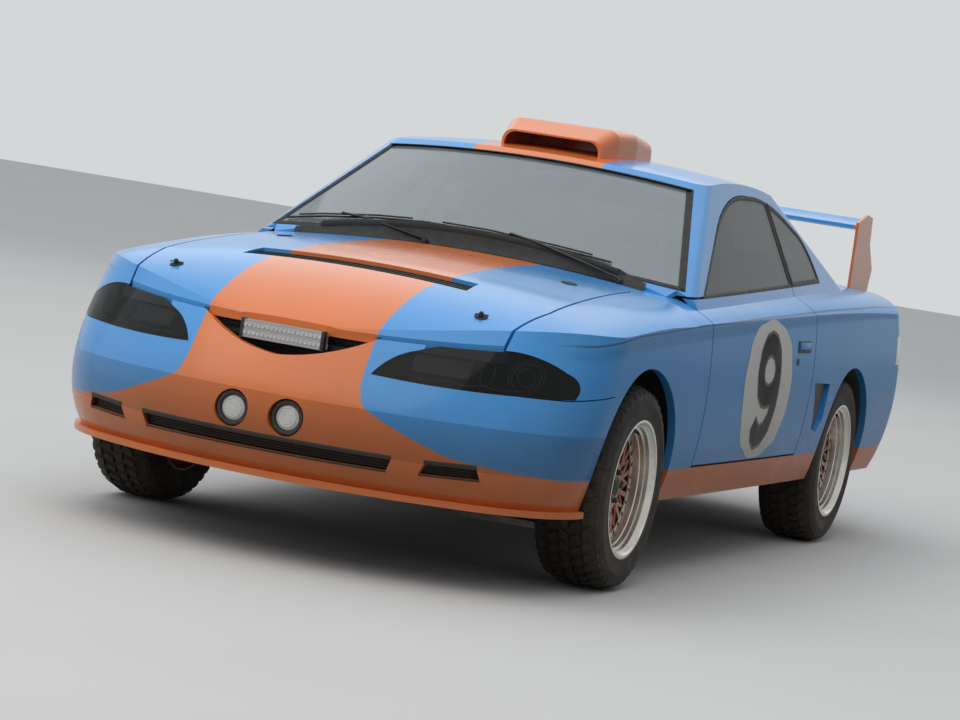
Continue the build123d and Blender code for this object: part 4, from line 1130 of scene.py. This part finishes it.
say("cabin fittings")
bottle = {"place": (0, 2580, 372), "r": 55, "half": 190, "bands": (-100, 90)}
c, r, h = at(*bottle["place"]), bottle["r"], bottle["half"]
lathe([(-h, 0.3), (-h, 20), (6 - h, 40), (22 - h, r), (h - 40, r), (h - 16, r * 0.82), (h, r * 0.4), (h, 16),
       (h + 30, 14), (h + 30, 0.3)], c, xAxis, 32)
for x in bottle["bands"]:
    lathe([(-13, r + 0.5), (-13, r + 2.6), (13, r + 2.6), (13, r + 0.5)], c + mm(x, 0, 0), xAxis, 32, 1)
boxAt(c, (-170, -45, -75), (150, 45, -52), 3, 2)
finishPiece("extinguisher", ["red_bottle", "raw_steel", "dark_aluminium"])

# x, half width, reach
pedals = [(470, 26, 0), (370, 34, 6), (270, 24, -14)]
for x, w, reach in pedals:
    foot = at(x, 1500 + reach, 430)
    boxAt(foot, (-w, -6, -28), (w, 4, 28), 3, 0, Matrix.Rotation(-0.35, 3, "X"))
    tube([foot + mm(0, -8, 10), foot + mm(0, -30, 120), foot + mm(0, -50, 290)], 7, 8, 1)
    for z in range(-18, 19, 9):
        lathe([(0, 3), (1.5, 2.8), (1.8, 0.3)], foot + mm(0, 6, z), (0, 1, 0.3), 8, 1)
finishPiece("pedals", ["dark_aluminium", "raw_steel"])

say("engine bay")
engine = {"top": 780, "ports": [680, 800, 920, 1040], "coverRibs": (90, 111, 132, 153), "cap": (122, 690)}
top = engine["top"]
for side in both:
    # cast valve cover with ribs and bolts
    bar(side * 62, 612, top - 2, side * 182, 1128, top + 14, 5)
    bar(side * 72, 626, top + 8, side * 172, 1114, top + 46, 12)
    for x in engine["coverRibs"]:
        tube([at(side * x, s, top + 45) for s in (650, 1090)], 4, 6)
    for s in spread(636, 1104, 4):
        for x in (64, 180):
            lathe([(0, 6.5), (5, 6.2), (6.5, 3.6), (7, 0.3)], at(side * x, s, top + 13), zAxis, 6, 1)
# filler cap
lathe([(0, 27), (10, 27), (12, 25), (20, 24), (22, 20), (22.5, 0.3)], at(*engine["cap"], top + 45), zAxis, 24, 2)
finishPiece("valve_covers", ["orange_paint", "raw_steel", "black_plastic"])

# intake: plenum, eight runners, throttle body
bar(-52, 640, top - 2, 52, 1090, top + 24, 8)
bar(-44, 700, top + 20, 44, 1060, top + 78, 16)
for s in engine["ports"]:
    for side in both:
        path = [(20, 0, 842), (48, 8, 850), (66, 12, 836), (70, 14, 800)]
        tube(refined([at(side * x, s + side * back, z) for x, back, z in path]), 16, 12)
lathe([(-20, 30), (18, 30), (20, 36), (26, 36), (28, 30), (54, 30)], at(0, 690, 826), -yAxis, 28)
# rubber duct bending down to the filter in front of the left wall
duct = {"r": 33, "path": [(0, 640, 826), (8, 590, 822), (70, 520, 790), (180, 470, 746), (262, 468, 700),
                          (308, 500, 652)]}
r = duct["r"]
line = curved([at(*p) for p in duct["path"]], 30)
tube(line, r, 20, 1)
for k in range(3, 29, 3):
    lathe([(-3, r), (0, r + 3.5), (3, r)], line[k], line[k + 1] - line[k - 1], 20, 1)
for p, q in ((line[0], line[1]), (line[-1], line[-2])):
    lathe([(-5, r + 1), (-5, r + 2.6), (5, r + 2.6), (5, r + 1)], p, q - p, 24, 2)
end, tip = line[-1], (line[-1] - line[-3]).normalized()
lathe([(0, 36), (12, 46), (14, 62)], end, tip, 32, 1)
u = tip.cross(zAxis).normalized()
for a in around(40):
    # pleats of the cone filter
    d = u * math.cos(a) + tip.cross(u) * math.sin(a)
    tube([end + tip * 0.014 + d * 0.058, end + tip * 0.12 + d * 0.044], 3.6, 5, 3)
lathe([(14, 57), (120, 43)], end, tip, 32, 3)
lathe([(118, 48), (128, 47), (130, 43), (131, 0.3)], end, tip, 32, 1)
finishPiece("intake_and_filter", ["cast_alloy", "black_trim", "raw_steel", "red_bottle"])

# pulleys: x, z, radius; run of the belt: x, z, radius, angles it touches
drive = {"s": 556, "belt": 536, "pulleys": [(0, 410, 78), (0, 600, 58), (150, 650, 32), (-150, 600, 48)],
         "run": [(0, 410, 78, 235, 305), (150, 650, 32, -20, 110), (-150, 600, 48, 90, 200)]}
for x, z, r in drive["pulleys"]:
    lathe([(-4, r * 0.4), (6, r * 0.4), (8, r - 6), (10, r), (13, r), (14, r - 3), (24, r - 3), (25, r), (28, r),
           (29, r - 8), (20, r * 0.5), (18, r * 0.28), (32, r * 0.2), (33, 0.3)], at(x, drive["s"], z), -yAxis, 36)
lathe([(-40, 62), (-4, 62), (0, 56), (3, 40)], at(150, drive["s"], 650), -yAxis, 28, 1)
lathe([(-40, 58), (-4, 58), (0, 50), (3, 36)], at(-150, drive["s"], 600), -yAxis, 28, 1)
loop = [at(x, drive["belt"], z) + upright(math.radians(a)) * (r / 1000)
        for x, z, r, a0, a1 in drive["run"] for a in spread(a0, a1, 8)]
loop.append(loop[0])
strap(loop, [(p - at(0, drive["belt"], 560)).normalized() for p in loop], 20, 4, 2)
# fan blades inside a moulded shroud
fan = {"hub": (0, 496, 545), "blades": 7, "radii": (44, 80, 120, 158)}
hub = at(*fan["hub"])
lathe([(-24, 34), (10, 46), (14, 44), (20, 30), (22, 0.3)], hub, -yAxis, 28, 3)
for a in around(fan["blades"]):
    rows = []
    for r in fan["radii"]:
        for w in (-0.5, 0, 0.5):
            b = a + w * (34 + r * 0.1) / r
            rows.append(hub + mm(math.cos(b) * r, -18 * w - 4 * (0.25 - w * w), math.sin(b) * r))
    growGrid(rows, 3, 3)
lathe([(60, 176), (30, 168), (-6, 166), (-10, 170), (26, 172), (56, 182)], hub + mm(0, -6, 0), -yAxis, 48, 3)
for a in around(4, 0.5):
    tube([hub + mm(0, -30, 0) + upright(a) * 0.03, hub + mm(0, -45, 0) + upright(a) * 0.168], 5, 6, 3)
finishPiece("pulleys_belt_and_fan", ["raw_steel", "cast_alloy", "black_trim", "black_plastic"])

# hoses: radius and a few points, with a clamp at each end
hoses = [(18, [(-330, 398, 605), (-330, 440, 612), (-290, 500, 660), (-180, 560, 716), (-90, 600, 748),
               (-40, 640, 772)]),
         (18, [(330, 398, 462), (330, 440, 456), (280, 500, 440), (190, 545, 455), (110, 556, 480)]),
         (10, [(120, 1128, 800), (170, 1200, 806), (210, 1290, 790), (215, 1344, 770)]),
         (10, [(60, 1128, 796), (90, 1210, 790), (120, 1290, 766), (122, 1344, 742)])]
for r, points in hoses:
    line = curved([at(*p) for p in points], 8 * (len(points) - 1))
    tube(line, r, 14)
    for p, q in ((line[1], line[2]), (line[-2], line[-3])):
        lathe([(-5, r), (-5, r + 1.8), (5, r + 1.8), (5, r)], p, q - p, 20, 1)
finishPiece("coolant_hoses", ["black_trim", "raw_steel"])

for side in both:
    for k, s in enumerate(engine["ports"]):
        start, mid, end = at(side * 20, 1120, 848 + 3 * k), at(side * 60, s + 60, 868), at(side * 186, s, 770)
        high = at(side * 150, s + 12, 840)
        tube(curved([start, start.lerp(mid, 0.6) + mm(0, 0, 6), mid, high, end], 24), 4, 8)
        lathe([(-16, 9), (-14, 11), (8, 9), (14, 5.5)], end, high - end, 12, 1)
bar(-46, 1096, 806, 46, 1150, 852, 8, 1)
finishPiece("plug_leads", ["red_bottle", "black_trim"])

# corners x, s, z of each box, bevel, material
battery = {"tray": (-412, 600, 560, -236, 850, 566, 2, 2), "case": (-408, 606, 566, -242, 844, 740, 6, 0),
           "lid": (-410, 604, 726, -240, 846, 752, 5, 0)}
tank = {"case": (262, 760, 560, 412, 930, 742, 14, 1), "foot": (258, 756, 552, 416, 934, 560, 2, 2)}
servo = {"place": (330, 1346, 770), "fluid": (306, 1200, 786, 354, 1276, 826, 6, 1)}
for box in battery.values():
    bar(*box)
# poles with their clamps, then the straps over the battery
for s, colour in ((640, 3), (810, 2)):
    lathe([(0, 10), (14, 9), (15, 0.3)], at(-262, s, 751), zAxis, 16, 2)
    bar(-276, s - 14, 756, -248, s + 14, 770, 3, colour)
for s in (690, 760):
    strap([at(x, s, z) for x, z in ((-416, 600), (-416, 757), (-236, 757), (-236, 600))],
          [-xAxis, zAxis - xAxis, zAxis + xAxis, xAxis], 22, 2.5, 2)
# expansion tank with its cap
bar(*tank["case"])
lathe([(0, 27), (16, 27), (18, 24), (19, 0.3)], at(336, 850, 741), zAxis, 24)
bar(*tank["foot"])
# brake servo and master cylinder on the bulkhead
c = at(*servo["place"])
lathe([(-2, 60), (6, 92), (30, 100), (42, 98), (56, 84), (62, 50), (66, 30)], c, -yAxis, 36)
lathe([(60, 19), (150, 19), (154, 16), (155, 0.3)], c, -yAxis, 20, 2)
bar(*servo["fluid"])
lathe([(0, 20), (10, 20), (12, 18), (12.5, 0.3)], at(330, 1238, 825), zAxis, 20)
finishPiece("battery_tank_and_servo", ["black_plastic", "cage_paint", "raw_steel", "red_bottle"])

# brace between the strut towers, in front of the plug leads
brace = {"halfPath": [(240, 952, 866), (470, 950, 858), (600, 950, 846)], "r": 12, "foot": (600, 950, 838)}
path = [at(-x, s, z) for x, s, z in brace["halfPath"][::-1]] + [at(*p) for p in brace["halfPath"]]
tube(refined(path), brace["r"], 14)
for side in both:
    c = at(side * brace["foot"][0], *brace["foot"][1:])
    lathe([(-2, 70), (3, 70), (4, 66), (5, 26), (14, 24), (16, 18), (16.5, 0.3)], c, zAxis, 32)
    for a in around(3, 0.5):
        lathe([(3, 8), (11, 8), (12, 5), (18, 5), (18.5, 0.3)], c + mm(48 * math.cos(a), 48 * math.sin(a), 0), zAxis,
              6, 1)
finishPiece("tower_brace", ["dark_aluminium", "raw_steel"])

# radiator core: upright fins, level tubes, a tank on each side
core = {"s": 341, "fins": range(-360, 361, 16), "tubes": range(446, 629, 13)}
for x in core["fins"]:
    tube([at(x, core["s"], z) for z in (440, 632)], 2.2, 4)
for z in core["tubes"]:
    tube([at(x, core["s"] - 0.5, z) for x in (-366, 366)], 1.8, 4)
for side in both:
    bar(side * 366, 336, 434, side * 399, 404, 638, 5, 1)
lathe([(0, 24), (14, 24), (15, 27), (21, 27), (22, 24), (22.5, 0.3)], at(-383, 372, 632), zAxis, 24, 2)
finishPiece("radiator_core", ["dark_aluminium", "cast_alloy", "raw_steel"])

say("inner frames of the lids")
# cross section of a rib: places across it, shares of its depth
lidRib = {"wide": 74, "deep": 11,
          "hat": ((-0.5, -0.6), (-0.36, 0.1), (-0.24, 1), (0.24, 1), (0.36, 0.1), (0.5, -0.6))}


def ribUnder(line, tree):
    # pressed rib glued under a lid: line holds x and s
    rows = []
    for (x, s), d in crossing(line):
        for off, drop in lidRib["hat"]:
            px, ps = x - d.y * lidRib["wide"] * off, s + d.x * lidRib["wide"] * off
            hit = tree.ray_cast(at(px, ps, 600), zAxis)[0]
            # past the lid's edge the rib goes on from its last point
            z = hit.z * 1000 if hit is not None else rows[-1].z * 1000 + 4 if rows else 850
            rows.append(at(px, ps, z - 1.5 - lidRib["deep"] * max(drop, 0)))
    growGrid(rows, 6)


def drawn(points, step=40):
    # a broken line cut into short runs
    out = []
    for (x0, s0), (x1, s1) in zip(points, points[1:]):
        n = max(1, int(math.hypot(x1 - x0, s1 - s0) / step))
        out += list(zip(spread(x0, x1, n), spread(s0, s1, n)))[:-1]
    return out + [points[-1]]


lidRibs = {
    "hood": [[(-430, 300), (430, 300)], [(-540, 1230), (540, 1230)], [(-430, 330), (-520, 700), (-540, 1200)],
             [(430, 330), (520, 700), (540, 1200)], [(-440, 500), (440, 500)], [(-500, 730), (500, 730)],
             [(-60, 760), (-440, 1200)], [(60, 760), (440, 1200)]],
    "deck_lid": [[(-520, 3880), (520, 3880)], [(-540, 4400), (540, 4400)], [(-560, 3900), (-560, 4380)],
                 [(560, 3900), (560, 4380)], [(-150, 3900), (-260, 4380)], [(150, 3900), (260, 4380)]],
}
for node, ribs in lidRibs.items():
    lidTree = treeOf(node)
    for line in ribs:
        ribUnder(drawn(line), lidTree)
    finishPiece(node + "_frame", ["underbody_paint"], node, 50)

say("boot")
spare = {"place": (-120, 4080, 668), "r": 296, "holes": 10, "holeRing": 140,
         "edge": [(-76, 190), (-88, 204), (-98, 230), (-98, 262), (-86, 286), (-74, 292), (-60, 296)],
         "groove": ((-6, 0), (-4, 7), (4, 7), (6, 0)), "grooves": (-44, -16, 16, 44),
         "disc": [(-84, 205), (-80, 196), (-40, 190), (20, 186), (30, 176), (24, 120), (34, 90), (36, 60), (30, 50),
                  (30, 0.3)],
         "strap": [(-330, 566, -2), (-304, 640, -1.4), (-250, 768, -0.4), (0, 772, 0), (250, 768, 0.4),
                   (304, 640, 1.4), (330, 566, 2)]}
c = at(*spare["place"])
profile = spare["edge"] + [(x + dx, spare["r"] - deep) for x in spare["grooves"] for dx, deep in spare["groove"]]
lathe(profile + [(-x, r) for x, r in spare["edge"][::-1]], c, zAxis, 64)
lathe(spare["disc"], c, zAxis, 56, 1)
lathe([(84, 205), (80, 196), (50, 190), (30, 186)], c, zAxis, 56, 1)
for a in around(spare["holes"]):
    place = c + mm(spare["holeRing"] * math.cos(a), spare["holeRing"] * math.sin(a), 27)
    lathe([(0, 17), (3, 17), (3.5, 14), (-6, 12), (-6.5, 0.3)], place, zAxis, 16, 2)
strap([at(-120 + x, 4080, z) for x, z, lean in spare["strap"]],
      [Vector((lean, 0, 1)) for x, z, lean in spare["strap"]], 45, 2.5, 3)
lathe([(0, 26), (8, 26), (10, 22), (26, 16), (28, 0.3)], c + mm(0, 0, 104), zAxis, 20, 4)
finishPiece("spare_wheel", ["tyre_rubber", "wheel_bronze", "black_trim", "red_belt", "black_plastic"])

chest = {"case": (300, 3900, 561, 560, 4240, 700, 10), "lid": (294, 3894, 690, 566, 4246, 716, 8),
         "latches": (3960, 4180), "handle": [(4010, 716), (4016, 738), (4124, 738), (4130, 716)],
         "ribs": range(3930, 4211, 56)}
bar(*chest["case"])
bar(*chest["lid"])
for s in chest["latches"]:
    bar(284, s - 18, 660, 298, s + 18, 716, 2, 1)
tube([at(430, s, z) for s, z in chest["handle"]], 7, 10, 1)
for s in chest["ribs"]:
    tube([at(296, s, z) for z in (570, 684)], 4, 6)
finishPiece("tool_chest", ["dark_aluminium", "raw_steel"])

# round filler flap on the right quarter: s, z, side and height over the paint
flap = (3760, 846, -1, 0.4)
p, n = aside(*flap)
lathe([(-1, 76), (1.2, 76), (1.6, 73), (0.2, 71), (0.2, 68), (1.4, 66)], p, n, 40)
lathe([(1.4, 66), (2.0, 40), (2.2, 0.3)], p, n, 40, 1)
finishPiece("filler_flap", ["black_trim", "body_paint"])

say("stage")


def seenRays():
    # the camera, mirrors and glass see the pale backdrop; what it throws on the car is weaker
    ray = addNode("ShaderNodeLightPath").outputs
    return calc("MAXIMUM", ray["Is Camera Ray"], calc("MAXIMUM", ray["Is Glossy Ray"], ray["Is Transmission Ray"]))


world = bpy.data.worlds.new("soft_sky")
bpy.context.scene.world = world
world.use_nodes = True
now["tree"] = world.node_tree
world.node_tree.nodes.clear()
way = addNode("ShaderNodeSeparateXYZ", {0: addNode("ShaderNodeTexCoord").outputs["Generated"]}).outputs
sky = mixColour(remap(way[2], 0.0, 0.9, 0.0, 1.0, "SMOOTHSTEP"), [0.16, 0.165, 0.17, 1], [0.88, 0.93, 1.0, 1])
lit = addNode("ShaderNodeBackground", {0: sky, 1: remap(way[0], -0.1, 0.9, 1.0, 0.4)}).outputs[0]
seen = addNode("ShaderNodeBackground", {0: [0.66, 0.68, 0.69, 1], 1: 1.0}).outputs[0]
either = addNode("ShaderNodeMixShader", {0: seenRays(), 1: lit, 2: seen}).outputs[0]
addNode("ShaderNodeOutputWorld", {0: either})

lighting = {
    "key": {"place": (-1.5, -6.0, 10.0), "target": (0, 0, 0.4), "size": 14.0, "power": 620,
            "colour": (1, 0.98, 0.94)},
    "fill": {"place": (-8, -5, 5), "target": (0, 0, 0.6), "size": 9.0, "power": 120, "colour": (0.93, 0.96, 1)},
    "rim": {"place": (-2, 8, 9), "target": (0, 0, 0.8), "size": 12.0, "power": 220, "colour": (1, 1, 1)},
}
for name, plan in lighting.items():
    light = bpy.data.lights.new(name, "AREA")
    light.energy, light.size, light.color = plan["power"], plan["size"], plan["colour"]
    lamp = bpy.data.objects.new(name, light)
    bpy.context.collection.objects.link(lamp)
    lamp.location = plan["place"]
    lamp.rotation_euler = (Vector(plan["target"]) - Vector(plan["place"])).to_track_quat("-Z", "Y").to_euler()

floorMesh = bpy.data.meshes.new("floor")
reach = 40  # metres
floorMesh.from_pydata([(-reach, -reach, 0), (reach, -reach, 0), (reach, reach, 0), (-reach, reach, 0)], [],
                      [(0, 1, 2, 3)])
floor = bpy.data.objects.new("floor", floorMesh)
bpy.context.collection.objects.link(floor)
ground, shader, where, xyz = newMaterial("pale_ground")
tone = mixColour(noise(where, 1200), [0.55, 0.54, 0.52, 1], [0.6, 0.59, 0.57, 1])
setIn(shader, {"Base Color": mixColour(seenRays(), [0.2, 0.185, 0.17, 1], tone), "Roughness": 0.9})
floorMesh.materials.append(ground)
floor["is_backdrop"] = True

say("camera")
# angles in degrees; focal length and centre of the photo in pixels of a picture 960 x 720
shot = {"place": (3.70857565, -10.48962264, 1.25679818), "angles": (18.389, 8.610, 9.103),
        "focal": 955.55, "centre": (460, 272), "zoom": 3.2}
camData = bpy.data.cameras.new("main")
cam = bpy.data.objects.new("main", camData)
bpy.context.collection.objects.link(cam)
bpy.context.scene.camera = cam
az, el, roll = [math.radians(a) for a in shot["angles"]]
back = Vector((math.sin(az) * math.cos(el), -math.cos(az) * math.cos(el), math.sin(el)))
level = zAxis.cross(back).normalized()
right = math.cos(roll) * level + math.sin(roll) * back.cross(level)
up = back.cross(right)
# turned towards the car, because the photo's centre isn't the middle of the lens
aim = -back * shot["focal"] + right * (shot["centre"][0] - 480) - up * (shot["centre"][1] - 360)
back = -aim.normalized()
right = up.cross(back).normalized()
cam.location = shot["place"]
cam.rotation_mode = "QUATERNION"
cam.rotation_quaternion = Matrix((right, back.cross(right), back)).transposed().to_quaternion()
camData.sensor_width = 36.0
camData.lens = 36.0 * shot["focal"] * shot["zoom"] / 960
camData.clip_start, camData.clip_end = 0.1, 200

bpy.context.scene.view_settings.view_transform = "Standard"

low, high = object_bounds()
{"start": [list(lowFirst), list(highFirst)], "end": [list(low), list(high)]}
say("done")
